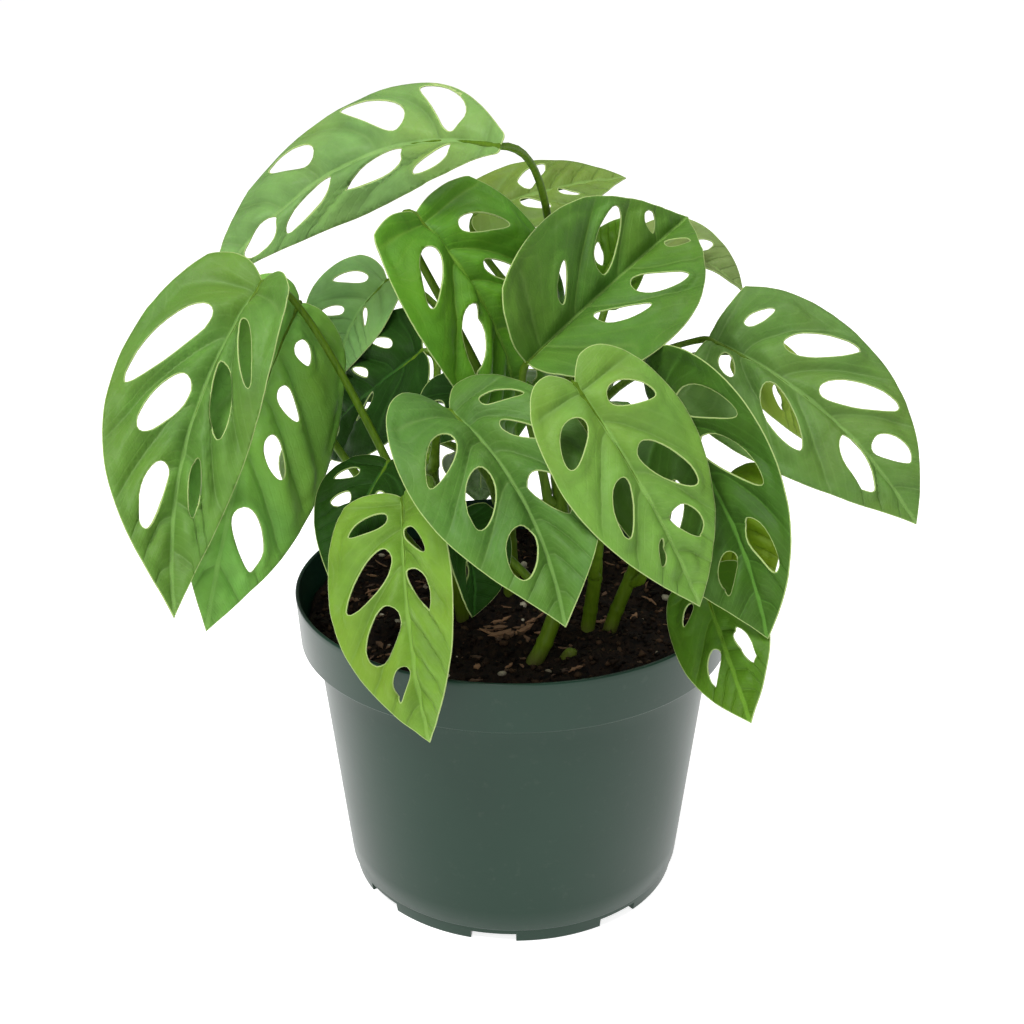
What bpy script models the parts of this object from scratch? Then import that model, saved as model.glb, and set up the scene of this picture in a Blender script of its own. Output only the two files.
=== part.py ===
"""A swiss-cheese monstera in a plastic nursery pot.

Frame: metres, +Z up, origin at the middle of the pot's flat underside, front towards -Y.
The tables give millimetres, degrees and fractions of a leaf's length, because that is how a
plant is measured. Each leaf is one object, its blade and its stalk together, as it grew.
"""

import math
from dataclasses import dataclass

import bmesh
import bpy
import numpy as np
from mathutils import Matrix, Vector
from mathutils.geometry import delaunay_2d_cdt

MM = 0.001
GAP = 0.3 * MM  # between pieces that touch

# The pot, a 6-inch azalea nursery pot
POT_HEIGHT = 112.0
RIM_RADIUS = 78.0
RIM_BAND = 18.5
BAND_DRAFT = 1.2
SHOULDER_RADIUS = 71.2
BASE_RADIUS = 61.0
FOOT_HEIGHT = 5.5
FOOT_STEP = 0.8
WALL = 1.3
FLOOR = 2.0
POT_SEGMENTS = 48
NOTCH_COUNT = 8
NOTCH_WIDTH = 16.0
NOTCH_HEIGHT = 3.4
NOTCH_REACH = 9.0
NOTCH_ANGLE = -97.0  # of the one at the front, in degrees from +X

# The potting mix
SOIL_TOP = 100.0
SOIL_MOUND = 3.5
SOIL_ROUGHNESS = 0.9
SOIL_RINGS = 5
SOIL_SECTORS = 24

# Leaves
BLADE_THICKNESS = 0.6 * MM
STALK_RADIUS_FOOT = 1.7
STALK_RADIUS_TOP = 1.1
STALK_RADIUS_TIP = 0.6
STALK_SIDES = 5
STALK_STEPS = 6
MIDRIB_REACH = 0.16  # how far the stalk runs on under the blade, as a fraction of its length
STEM_SIDES = 8
HOLE_CORNERS = 7


@dataclass
class Leaf:
    """One leaf. Sides are as seen along the blade from stalk to tip, upper face up."""

    name: str
    base: tuple  # where the stalk meets the blade, mm
    tip: tuple  # mm
    widths: tuple  # left half and right half of the blade, mm
    roll: float  # turn of the upper face about the line from base to tip, towards the left
    arch: float  # rise of the midrib over that line, by its length
    sway: float  # the same, to the left
    lift: float  # how steeply each half rises from the midrib
    bend: float  # how much each half turns on its way out; negative droops
    twist: float  # extra turn at the tip
    lobe: float  # how far the lobes reach back behind the base, by the blade's length
    belly: float  # shifts the widest place towards the tip
    stem: str  # the stem that carries it
    foot: float  # height on that stem, as a fraction
    green: str
    bow: tuple = (0, 0)  # pushes the middle of the stalk this far in X and Y, mm
    taper: float = 0  # how much narrower the blade is towards its base


# Half of a blade's outline: (fraction of the length, fraction of the half width)
HALF_OUTLINE = (
    (0.0, 0.0), (-0.045, 0.10), (-0.085, 0.28), (-0.07, 0.55), (0.02, 0.80), (0.15, 0.95),
    (0.30, 1.0), (0.46, 0.95), (0.62, 0.80), (0.77, 0.56), (0.88, 0.31), (0.95, 0.13), (1.0, 0.0),
)
LOBE_DEPTH = 0.085  # of the outline above

# Stems: points from the soil up, in mm, and the radius at the foot and at the top
STEMS = {
    "stem_front": (((0, -44, 90), (11, -41, 110), (17, -33, 134), (14, -20, 162)), 2.9, 2.3),
    "stem_fork_left": (((23.6, -22.8, 90), (26.5, -22, 112), (27.5, -27, 132), (23, -37, 152)), 2.6, 2.1),
    "stem_fork_right": (((29.8, -21.8, 90), (35, -20.5, 108), (41.5, -21, 127), (46, -31, 150)), 2.6, 2.1),
    "stem_left": (((-16, -12, 90), (-20, -16, 120), (-26, -19, 148), (-28, -21, 168)), 3.0, 2.0),
    "stem_middle": (((0, 4, 90), (-2, 5, 126), (-4, 3, 162), (-6, 2, 192)), 3.2, 2.0),
    "stem_back": (((14, 20, 90), (18, 24, 126), (22, 27, 156), (24, 28, 182)), 3.2, 2.0),
    "stem_stub": (((16, -39, 92), (17.5, -40, 101), (20.5, -40.5, 104.5)), 2.4, 2.1),
}

# Holes of each leaf, left half and right half: inner vein and reach, outer vein and reach, width in mm
HOLES = {
    "leaf_01": (
        ((0.12, 0.26, 0.18, 0.78, 5.5), (0.24, 0.22, 0.39, 0.62, 8), (0.52, 0.33, 0.69, 0.5, 4)),
        ((0.12, 0.26, 0.21, 0.83, 10), (0.31, 0.2, 0.41, 0.62, 9), (0.56, 0.27, 0.72, 0.69, 7)),
    ),
    "leaf_02": (
        (
            (0.11, 0.12, 0.14, 0.3, 7), (0.26, 0.12, 0.27, 0.42, 7),
            (0.4, 0.2, 0.46, 0.5, 8), (0.64, 0.16, 0.77, 0.73, 10),
        ),
        ((0.5, 0.3, 0.6, 0.7, 6),),
    ),
    "leaf_03": (
        (
            (0.13, 0.2, 0.19, 0.62, 4), (0.28, 0.15, 0.46, 0.5, 6.5),
            (0.54, 0.15, 0.7, 0.7, 6), (0.75, 0.16, 0.87, 0.58, 7),
        ),
        ((0.12, 0.2, 0.18, 0.86, 8.5), (0.28, 0.18, 0.335, 0.84, 9), (0.54, 0.38, 0.6, 0.9, 8)),
    ),
    "leaf_04": (
        (
            (0.11, 0.2, 0.14, 0.66, 6), (0.24, 0.18, 0.31, 0.6, 5),
            (0.38, 0.18, 0.45, 0.5, 4), (0.66, 0.2, 0.74, 0.5, 4),
        ),
        ((0.12, 0.28, 0.15, 0.8, 8), (0.32, 0.26, 0.4, 0.79, 11)),
    ),
    "leaf_05": (
        ((0.21, 0.2, 0.22, 0.55, 5), (0.45, 0.22, 0.57, 0.85, 11), (0.76, 0.4, 0.8, 0.82, 7)),
        ((0.26, 0.2, 0.28, 0.62, 10), (0.5, 0.25, 0.46, 0.83, 12), (0.78, 0.25, 0.78, 0.8, 7)),
    ),
    "leaf_06": (
        ((0.07, 0.28, 0.11, 0.7, 4), (0.17, 0.25, 0.23, 0.55, 5.5), (0.42, 0.22, 0.55, 0.62, 8)),
        ((0.15, 0.38, 0.19, 0.84, 8), (0.31, 0.3, 0.46, 0.73, 9.5), (0.6, 0.21, 0.76, 0.7, 10)),
    ),
    "leaf_07": (
        ((0.1, 0.2, 0.13, 0.72, 7.5), (0.3, 0.2, 0.43, 0.76, 8.5), (0.58, 0.28, 0.68, 0.72, 7.5)),
        ((0.11, 0.3, 0.15, 0.78, 8), (0.36, 0.27, 0.46, 0.78, 7.5), (0.65, 0.3, 0.72, 0.65, 4)),
    ),
    "leaf_08": (
        ((0.15, 0.15, 0.17, 0.62, 4.5), (0.3, 0.19, 0.34, 0.68, 7)),
        (
            (0.08, 0.16, 0.11, 0.66, 4.5), (0.2, 0.16, 0.28, 0.76, 8.5),
            (0.42, 0.2, 0.58, 0.68, 8.5), (0.67, 0.2, 0.79, 0.55, 4),
        ),
    ),
    "leaf_09": (
        (
            (0.09, 0.3, 0.11, 0.62, 4.5), (0.2, 0.3, 0.23, 0.86, 10),
            (0.42, 0.14, 0.52, 0.88, 9), (0.67, 0.22, 0.76, 0.82, 8),
        ),
        ((0.09, 0.14, 0.14, 0.36, 5), (0.25, 0.22, 0.4, 0.72, 9.5), (0.59, 0.14, 0.78, 0.62, 9)),
    ),
    "leaf_10": (
        ((0.12, 0.3, 0.17, 0.85, 9), (0.26, 0.2, 0.36, 0.8, 9.5), (0.56, 0.35, 0.71, 0.78, 8.5)),
        ((0.3, 0.3, 0.42, 0.75, 6), (0.66, 0.2, 0.78, 0.68, 5)),
    ),
    "leaf_11": (
        ((0.36, 0.4, 0.58, 0.7, 4.5),),
        ((0.12, 0.3, 0.16, 0.6, 3), (0.46, 0.2, 0.62, 0.68, 4)),
    ),
    "leaf_12": (
        ((0.3, 0.2, 0.36, 0.6, 3),),
        ((0.1, 0.24, 0.16, 0.72, 4.5), (0.4, 0.24, 0.4, 0.7, 3)),
    ),
    "leaf_13": (
        ((0.3, 0.2, 0.38, 0.5, 4), (0.61, 0.33, 0.66, 0.65, 6)),
        ((0.12, 0.3, 0.17, 0.6, 3.5), (0.32, 0.2, 0.37, 0.5, 3)),
    ),
    "leaf_14": (
        ((0.3, 0.3, 0.36, 0.7, 4),),
        ((0.14, 0.36, 0.16, 0.75, 5), (0.34, 0.34, 0.38, 0.66, 4)),
    ),
    "leaf_15": (
        ((0.3, 0.2, 0.36, 0.8, 6.5),),
        ((0.26, 0.2, 0.26, 0.73, 5), (0.5, 0.25, 0.52, 0.7, 4)),
    ),
    "leaf_16": (
        ((0.4, 0.25, 0.45, 0.75, 4),),
        ((0.35, 0.3, 0.4, 0.7, 3),),
    ),
    "leaf_17": (
        (),
        ((0.3, 0.3, 0.4, 0.7, 3),),
    ),
    "leaf_18": (
        ((0.3, 0.25, 0.38, 0.7, 4),),
        ((0.3, 0.25, 0.38, 0.7, 4),),
    ),
    "leaf_19": (
        ((0.3, 0.25, 0.38, 0.7, 4),),
        ((0.3, 0.25, 0.38, 0.7, 4),),
    ),
    "leaf_20": (
        ((0.3, 0.25, 0.38, 0.7, 4),),
        ((0.3, 0.25, 0.38, 0.7, 4),),
    ),
    "leaf_21": (
        ((0.3, 0.25, 0.38, 0.7, 4),),
        ((0.4, 0.25, 0.48, 0.7, 4),),
    ),
    "leaf_22": (
        ((0.12, 0.2, 0.16, 0.75, 6), (0.33, 0.2, 0.4, 0.75, 7), (0.58, 0.2, 0.66, 0.7, 5)),
        ((0.15, 0.2, 0.18, 0.75, 6), (0.38, 0.2, 0.45, 0.75, 7), (0.6, 0.2, 0.7, 0.7, 5)),
    ),
    "leaf_23": (
        ((0.12, 0.2, 0.16, 0.75, 6), (0.33, 0.2, 0.4, 0.75, 7), (0.58, 0.2, 0.66, 0.7, 5)),
        ((0.15, 0.2, 0.18, 0.75, 6), (0.38, 0.2, 0.45, 0.75, 7), (0.6, 0.2, 0.7, 0.7, 5)),
    ),
    "leaf_24": (
        ((0.14, 0.2, 0.18, 0.75, 6), (0.36, 0.2, 0.43, 0.75, 6)),
        ((0.12, 0.2, 0.16, 0.75, 5), (0.33, 0.2, 0.4, 0.75, 6), (0.58, 0.2, 0.66, 0.7, 4)),
    ),
    "leaf_25": (
        ((0.2, 0.2, 0.25, 0.75, 5), (0.45, 0.2, 0.52, 0.75, 5)),
        ((0.2, 0.2, 0.25, 0.75, 5), (0.45, 0.2, 0.52, 0.75, 5)),
    ),
    "leaf_26": (
        ((0.3, 0.2, 0.38, 0.7, 4),),
        ((0.3, 0.2, 0.38, 0.7, 4),),
    ),
}

LEAVES = (
    Leaf("leaf_01", (-81, -17, 225), (-103, -84, 138), (24, 29), -15, 0.04, -0.085, 26, -22, 60,
         0.035, -0.02, "stem_left", 0.4, "mid", (-6, 6)),
    Leaf("leaf_02", (-72, 3, 213), (-97, -69, 126), (38, 22), 60, 0.02, -0.05, -2, -28, -15,
         0.036, 0.06, "stem_left", 0.3, "mid", (-24, 10)),
    Leaf("leaf_03", (-5, -29, 270), (-102, 6, 217), (21, 36), 61, -0.05, -0.19, -3, -56, 8,
         0.007, -0.06, "stem_back", 0.85, "light", (-4, 23), 0.84),
    Leaf("leaf_04", (-32, -7, 245), (0, 2, 164), (37, 36), -47, 0.16, -0.03, 21, -29, -13,
         0.02, -0.04, "stem_middle", 0.9, "mid"),
    Leaf("leaf_05", (4, -30, 202), (63, 55, 231), (34, 38), -40, -0.03, 0.01, 40, -6, 8,
         0.045, 0.15, "stem_front", 0.9, "dark", (3, 5)),
    Leaf("leaf_06", (-20, -48, 192), (15, -98, 142), (28, 35), 0, 0.105, 0.03, 31, -34, -38,
         0.078, -0.05, "stem_left", 0.95, "mid"),
    Leaf("leaf_07", (18, -65, 206), (56, -82, 141), (26, 25), -34, 0.05, 0.01, 13, -20, 4,
         0.085, 0.03, "stem_fork_left", 0.6, "light", (9, -8)),
    Leaf("leaf_08", (-35, -56, 166), (-26, -91, 99), (23, 26), -47, 0.095, 0.035, 24, -16, 5,
         0.033, 0.09, "stem_left", 0.7, "bright", (2, -8)),
    Leaf("leaf_09", (70, 36, 191), (141, -4, 135), (34, 33), -38, 0.095, 0.043, 9, -25, 0,
         0.005, -0.04, "stem_back", 0.8, "mid"),
    Leaf("leaf_10", (44, -25, 187), (79, -74, 126), (29, 32), -62, 0.08, 0.11, 26, -6, 3,
         0.064, 0.06, "stem_fork_right", 0.75, "mid", (6, -8)),
    Leaf("leaf_11", (61, -46, 133), (73, -88, 104), (18, 17), -46, 0.0, 0.0, 6, -12, 0,
         0.042, 0.02, "stem_fork_right", 0.6, "dark"),
    Leaf("leaf_12", (-46, 45, 210), (-63, 33, 177), (16, 21), 12, 0.12, -0.05, 20, -18, 20,
         0.05, 0.04, "stem_middle", 0.8, "mid"),
    Leaf("leaf_13", (-32, 14, 193), (-73, 47, 148), (27, 25), 59, 0.065, 0.037, 16, -23, 2,
         0.041, 0.0, "stem_left", 0.97, "dark"),
    Leaf("leaf_14", (-42, -21, 165), (-59, -55, 137), (16, 18), 0, 0.11, 0.037, 12, -20, 0,
         0.04, 0.0, "stem_left", 0.6, "dark"),
    Leaf("leaf_15", (-14, 50, 233), (41, 66, 243), (19, 18), -27, 0.065, -0.01, 12, -25, 5,
         0.04, 0.0, "stem_back", 0.95, "mid"),
    Leaf("leaf_16", (46, 59, 218), (84, 52, 204), (16, 13), -18, 0.128, 0.014, 23, -5, 3,
         0.04, 0.0, "stem_back", 0.9, "mid"),
    Leaf("leaf_17", (-19, -49, 156), (-14, -51, 122), (16, 14), -16, 0.114, 0.0, 26, -16, 0,
         0.04, 0.1, "stem_front", 0.5, "dark"),
    Leaf("leaf_18", (87, 56, 180), (117, 46, 144), (16, 15), -30, 0.08, 0.0, 12, -20, 0,
         0.04, 0.0, "stem_back", 0.7, "light"),
    Leaf("leaf_19", (76, 12, 146), (88, -22, 117), (16, 15), -40, 0.08, 0.0, 12, -20, 0,
         0.04, 0.0, "stem_fork_right", 0.9, "light"),
    Leaf("leaf_20", (28, 58, 199), (48, 90, 225), (14, 14), -30, 0.0, 0.0, 20, -15, 0,
         0.04, 0.0, "stem_back", 0.8, "mid", (-4, 0)),
    Leaf("leaf_21", (-16, -3, 186), (-28, -18, 169), (14, 12), 20, 0.08, 0.0, 14, -20, 0,
         0.04, 0.0, "stem_middle", 0.75, "dark"),
    Leaf("leaf_22", (15, 78, 165), (24, 132, 112), (26, 25), 10, 0.09, 0.02, 12, -25, 0,
         0.06, 0.0, "stem_back", 0.6, "mid"),
    Leaf("leaf_23", (-40, 76, 160), (-72, 122, 108), (24, 25), -8, 0.09, -0.02, 12, -25, 0,
         0.06, 0.0, "stem_middle", 0.6, "mid"),
    Leaf("leaf_24", (45, 80, 150), (72, 126, 104), (22, 23), 5, 0.09, 0.02, 12, -25, 0,
         0.06, 0.0, "stem_back", 0.45, "mid"),
    Leaf("leaf_25", (-62, 68, 150), (-92, 100, 102), (19, 20), -5, 0.09, 0.0, 14, -25, 0,
         0.05, 0.0, "stem_middle", 0.45, "light"),
    Leaf("leaf_26", (-12, 66, 136), (-14, 104, 98), (16, 17), 6, 0.08, 0.0, 16, -25, 0,
         0.05, 0.0, "stem_back", 0.25, "bright"),
)


def smooth_points(points, steps):
    """Points on a Catmull-Rom curve through the given ones."""
    given = np.array(points, float)
    ends = np.vstack([2 * given[0] - given[1], given, 2 * given[-1] - given[-2]])
    found = []
    for a, b, c, d in zip(ends, ends[1:], ends[2:], ends[3:]):
        for t in np.arange(steps) / steps:
            found.append(
                b + 0.5 * t * (c - a + t * (2 * a - 5 * b + 4 * c - d + t * (3 * (b - c) + d - a)))
            )
    found.append(given[-1])
    return np.array(found)


def unit(vector):
    return vector / np.linalg.norm(vector)


def blade_frame(leaf):
    """The base, the line to the tip, and the unit vectors up and left of that line, in metres."""
    base = np.array(leaf.base, float) * MM
    line = np.array(leaf.tip, float) * MM - base
    along = unit(line)
    up = unit(np.array([0.0, 0.0, 1.0]) - along[2] * along)
    left = np.cross(up, along)
    roll = math.radians(leaf.roll)
    up, left = up * math.cos(roll) + left * math.sin(roll), left * math.cos(roll) - up * math.sin(roll)
    return base, line, up, left


def blade_points(leaf, places, drop=0.0):
    """World points for (fraction along the midrib, fraction of the half width, left positive)."""
    places = np.atleast_2d(places)
    along, across = places[:, 0], places[:, 1]
    base, line, up, left = blade_frame(leaf)
    bow = (up * leaf.arch + left * leaf.sway) * np.linalg.norm(line)
    spine = base + np.outer(along, line) + np.outer(4 * along * (1 - along), bow)
    tangent = line + np.outer(4 - 8 * along, bow)
    tangent /= np.linalg.norm(tangent, axis=1)[:, None]
    normal = up - (tangent @ up)[:, None] * tangent
    normal /= np.linalg.norm(normal, axis=1)[:, None]
    side = np.cross(normal, tangent)
    turn = np.radians(leaf.twist * along)[:, None]
    normal, side = normal * np.cos(turn) + side * np.sin(turn), side * np.cos(turn) - normal * np.sin(turn)
    width = np.where(across >= 0, leaf.widths[0], leaf.widths[1]) * MM
    lift = math.radians(leaf.lift)
    bend = math.radians(leaf.bend)
    outward = np.abs(across)
    reach = width * (np.sin(lift + bend * outward) - math.sin(lift)) / bend
    rise = width * (math.cos(lift) - np.cos(lift + bend * outward)) / bend
    flat = spine + side * (np.sign(across) * reach)[:, None]
    return flat + normal * (rise - drop)[:, None]


def half_outline(leaf, steps):
    places = smooth_points(HALF_OUTLINE, steps)
    along = places[:, 0]
    back = along * leaf.lobe / LOBE_DEPTH
    forward = along + 1.5 * leaf.belly * along * (1 - along) * (1.2 - along)
    places[:, 0] = np.where(along < 0, back, forward)
    places[:, 1] *= 1 - leaf.taper * np.clip(1 - along, 0, 1) ** 3
    return places


def vein(start, outward):
    """Where a side vein that leaves the midrib at start is, at this fraction of the half width."""
    ease = min(max(start / 0.25, 0.0), 1.0)
    sweep = -0.10 + 0.40 * ease * ease * (3 - 2 * ease)
    return start + sweep * outward**1.5


def vein_end(leaf, start):
    """The fraction of the half width at which a side vein meets the margin."""
    half = half_outline(leaf, 2)
    front = half[np.argmax(half[:, 1] > 0.85):]
    outward = 0.1
    while outward < np.interp(vein(start, outward), front[:, 0], front[:, 1]):
        outward += 0.01
    return outward


def hole_outline(leaf, hole, side, corners):
    """An egg round a line that follows the side veins, broad towards the midrib."""
    inner_vein, inner_reach, outer_vein, outer_reach, width = hole
    turns = np.arange(corners) / corners * 2 * math.pi
    line = []
    for part in (1 - np.cos(turns)) / 2:
        start = inner_vein + (outer_vein - inner_vein) * part
        outward = (inner_reach + (outer_reach - inner_reach) * part) * vein_end(leaf, start)
        line.append((vein(start, outward), side * outward))
    flat = flat_places(leaf, np.array(line))
    direction = unit(flat[corners // 2] - flat[0])
    across = np.array([-direction[1], direction[0]])
    swell = width * MM / 2 * np.sin(turns) * (1 + 0.2 * np.cos(turns))
    return unflatten(leaf, flat + np.outer(swell, across))


def blade_loops(leaf):
    """The outer loop and the hole loops of a blade, in fractions."""
    half = half_outline(leaf, 1)
    right = half[1:-1][::-1] * (1, -1)
    loops = [np.vstack([half, right])]
    for holes, side in zip(HOLES[leaf.name], (1, -1)):
        for hole in holes:
            loops.append(hole_outline(leaf, hole, side, HOLE_CORNERS))
    return loops


def flat_places(leaf, places):
    """The same places laid flat in metres, so that triangles come out well shaped."""
    length = np.linalg.norm(np.subtract(leaf.tip, leaf.base)) * MM
    width = np.where(places[:, 1] >= 0, leaf.widths[0], leaf.widths[1]) * MM
    return np.stack([places[:, 0] * length, places[:, 1] * width], axis=1)


def unflatten(leaf, corners):
    """The fractions back from the flat metres."""
    corners = np.array(corners)
    length = np.linalg.norm(np.subtract(leaf.tip, leaf.base)) * MM
    width = np.where(corners[:, 1] >= 0, leaf.widths[0], leaf.widths[1]) * MM
    return np.stack([corners[:, 0] / length, corners[:, 1] / width], axis=1)


def inside_places(leaf, loops):
    """A few places on the midrib and between the holes that carry the blade's curve."""
    rows = [(along, 0.0) for along in (0.1, 0.26, 0.42, 0.58, 0.74, 0.88)]
    rows += [(along, side * 0.5) for along in (0.02, 0.2, 0.38, 0.56, 0.74) for side in (1, -1)]
    rims = np.vstack([flat_places(leaf, loop) for loop in loops])
    kept = []
    for place in rows:
        spot = flat_places(leaf, np.array([place]))
        if np.linalg.norm(rims - spot, axis=1).min() > 2.5 * MM:
            kept.append(place)
    return np.array(kept)


def encloses(loop, point):
    """Whether a point is inside a closed loop."""
    ahead = np.roll(loop, -1, axis=0)
    crosses = (loop[:, 1] > point[1]) != (ahead[:, 1] > point[1])
    run = ahead[crosses] - loop[crosses]
    where = loop[crosses, 0] + (point[1] - loop[crosses, 1]) / run[:, 1] * run[:, 0]
    return int((where > point[0]).sum()) % 2 == 1


def blade_mesh(leaf):
    """The middle surface of the blade, with its holes."""
    loops = blade_loops(leaf)
    places = np.vstack(loops + [inside_places(leaf, loops)])
    edges = []
    start = 0
    for loop in loops:
        count = len(loop)
        edges += [(start + i, start + (i + 1) % count) for i in range(count)]
        start += count
    flat = [Vector(point) for point in flat_places(leaf, places)]
    corners, _, faces, *_ = delaunay_2d_cdt(flat, edges, [], 1, 1e-7)
    openings = [flat_places(leaf, loop) for loop in loops[1:]]
    faces = [
        face for face in faces
        if not any(encloses(opening, np.mean([corners[i] for i in face], axis=0)) for opening in openings)
    ]
    mesh = bpy.data.meshes.new(leaf.name)
    mesh.from_pydata(blade_points(leaf, unflatten(leaf, corners)).tolist(), [], faces)
    return mesh


def ring_frames(path):
    """Unit vectors across a path at each of its points, turning as little as they can."""
    tangents = np.gradient(path, axis=0)
    tangents /= np.linalg.norm(tangents, axis=1)[:, None]
    helper = np.array([1.0, 0.0, 0.0]) if abs(tangents[0][0]) < 0.8 else np.array([0.0, 1.0, 0.0])
    across = unit(np.cross(tangents[0], helper))
    frames = []
    for tangent in tangents:
        across = unit(across - (across @ tangent) * tangent)
        frames.append((across, np.cross(tangent, across)))
    return frames


def tube_mesh(name, path, radii, sides):
    """A closed tube along a path, in metres."""
    shape = bmesh.new()
    rings = []
    for point, radius, (across, other) in zip(path, radii, ring_frames(path)):
        ring = []
        for angle in np.arange(sides) / sides * 2 * math.pi:
            offset = radius * (math.cos(angle) * across + math.sin(angle) * other)
            ring.append(shape.verts.new(point + offset))
        rings.append(ring)
    for first, second in zip(rings, rings[1:]):
        for i in range(sides):
            j = (i + 1) % sides
            shape.faces.new((first[i], first[j], second[j], second[i]))
    shape.faces.new(rings[0][::-1])
    shape.faces.new(rings[-1])
    mesh = bpy.data.meshes.new(name)
    shape.to_mesh(mesh)
    shape.free()
    return mesh


def stem_path(name):
    points, foot_radius, top_radius = STEMS[name]
    path = smooth_points(points, 3) * MM
    radii = np.linspace(foot_radius, top_radius, len(path)) * MM
    return path, radii


def stalk_path(leaf):
    """From the side of the stem up to the blade, then a little way along under the midrib."""
    stem, stem_radii = stem_path(leaf.stem)
    where = leaf.foot * (len(stem) - 1)
    below = min(int(where), len(stem) - 2)
    part = where - below
    centre = stem[below] * (1 - part) + stem[below + 1] * part
    radius = stem_radii[below] * (1 - part) + stem_radii[below + 1] * part
    base, line, up, _ = blade_frame(leaf)
    outward = base - centre
    outward[2] = 0.0
    outward = unit(outward)
    foot = centre + outward * (radius + (STALK_RADIUS_FOOT + 0.6) * MM)
    under = blade_points(leaf, [(MIDRIB_REACH * k / 2, 0.0) for k in (0, 1, 2)], 0.35 * MM)
    span = np.linalg.norm(under[0] - foot)
    aside = np.array([*leaf.bow, 0.0]) * MM
    rising = foot + np.array([0.0, 0.0, 0.35]) * span + outward * 0.12 * span + aside
    arriving = under[0] - (0.45 * unit(line) + 0.75 * up) * 0.28 * span + aside
    curve = []
    for t in np.arange(STALK_STEPS) / STALK_STEPS:
        s = 1 - t
        curve.append(s**3 * foot + 3 * s * s * t * rising + 3 * s * t * t * arriving + t**3 * under[0])
    path = np.vstack([curve, under])
    radii = np.concatenate([
        np.linspace(STALK_RADIUS_FOOT, STALK_RADIUS_TOP, STALK_STEPS + 1),
        np.linspace(STALK_RADIUS_TOP, STALK_RADIUS_TIP, 3)[1:],
    ]) * MM
    return path, radii


def material(name, colour, roughness):
    made = bpy.data.materials.new(name)
    made.use_nodes = True
    shader = made.node_tree.nodes["Principled BSDF"]
    shader.inputs["Base Color"].default_value = (*colour, 1.0)
    shader.inputs["Roughness"].default_value = roughness
    made.diffuse_color = (*colour, 1.0)
    return made


def add_object(name, mesh, *materials):
    made = bpy.data.objects.new(name, mesh)
    for item in materials:
        mesh.materials.append(item)
    bpy.context.scene.collection.objects.link(made)
    return made


def add_helper(name, mesh):
    """A shape that only cuts or joins."""
    made = add_object(name, mesh)
    made.hide_render = True
    made.display_type = "WIRE"
    return made


def boolean(target, helper, operation):
    modifier = target.modifiers.new(helper.name, "BOOLEAN")
    modifier.operation = operation
    modifier.object = helper
    return modifier


def make_leaf(leaf, blade_material, stalk_material):
    blade = add_object(leaf.name, blade_mesh(leaf), blade_material, stalk_material)
    thicken = blade.modifiers.new("Thickness", "SOLIDIFY")
    thicken.thickness = BLADE_THICKNESS
    thicken.offset = 0.0
    path, radii = stalk_path(leaf)
    stalk = add_helper("stalk_of_" + leaf.name, tube_mesh("stalk_of_" + leaf.name, path, radii, STALK_SIDES))
    # MANIFOLD joins these closed shapes; EXACT drops the blade from some leaves.
    boolean(blade, stalk, "UNION").solver = "MANIFOLD"
    return blade


def turned_mesh(name, profile, segments):
    """A profile of (radius, height) in mm, outer side from top to bottom, turned about Z."""
    shape = bmesh.new()
    rings = []
    angles = np.arange(segments) / segments * 2 * math.pi
    for radius, height in np.array(profile) * MM:
        if radius == 0:
            rings.append([shape.verts.new((0, 0, height))])
            continue
        rings.append([shape.verts.new((radius * math.cos(a), radius * math.sin(a), height)) for a in angles])
    for first, second in zip(rings, rings[1:] + rings[:1]):
        for i in range(segments if len(first) + len(second) > 2 else 0):
            j = (i + 1) % segments
            if len(first) == 1:
                shape.faces.new((first[0], second[i], second[j]))
            elif len(second) == 1:
                shape.faces.new((first[i], second[0], first[j]))
            else:
                shape.faces.new((first[i], second[i], second[j], first[j]))
    mesh = bpy.data.meshes.new(name)
    shape.to_mesh(mesh)
    shape.free()
    return mesh


def body_radius(height):
    """Outer radius of the pot's tapered body at a height in mm."""
    shoulder = POT_HEIGHT - RIM_BAND
    return BASE_RADIUS + (SHOULDER_RADIUS - BASE_RADIUS) * height / shoulder


def notch_boxes():
    """Cutters for the drainage notches round the foot of the pot."""
    middle = BASE_RADIUS + 2 - NOTCH_REACH / 2
    for index in range(NOTCH_COUNT):
        shape = bmesh.new()
        bmesh.ops.create_cube(shape, size=1.0)
        size = Vector((NOTCH_REACH, NOTCH_WIDTH, 2 * NOTCH_HEIGHT)) * MM
        bmesh.ops.scale(shape, vec=size, verts=shape.verts)
        bmesh.ops.translate(shape, vec=(middle * MM, 0, 0), verts=shape.verts)
        turn = Matrix.Rotation(math.radians(NOTCH_ANGLE + index * 360 / NOTCH_COUNT), 4, "Z")
        bmesh.ops.transform(shape, matrix=turn, verts=shape.verts)
        mesh = bpy.data.meshes.new("notch")
        shape.to_mesh(mesh)
        shape.free()
        yield add_helper(f"notch_{index + 1}", mesh)


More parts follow.
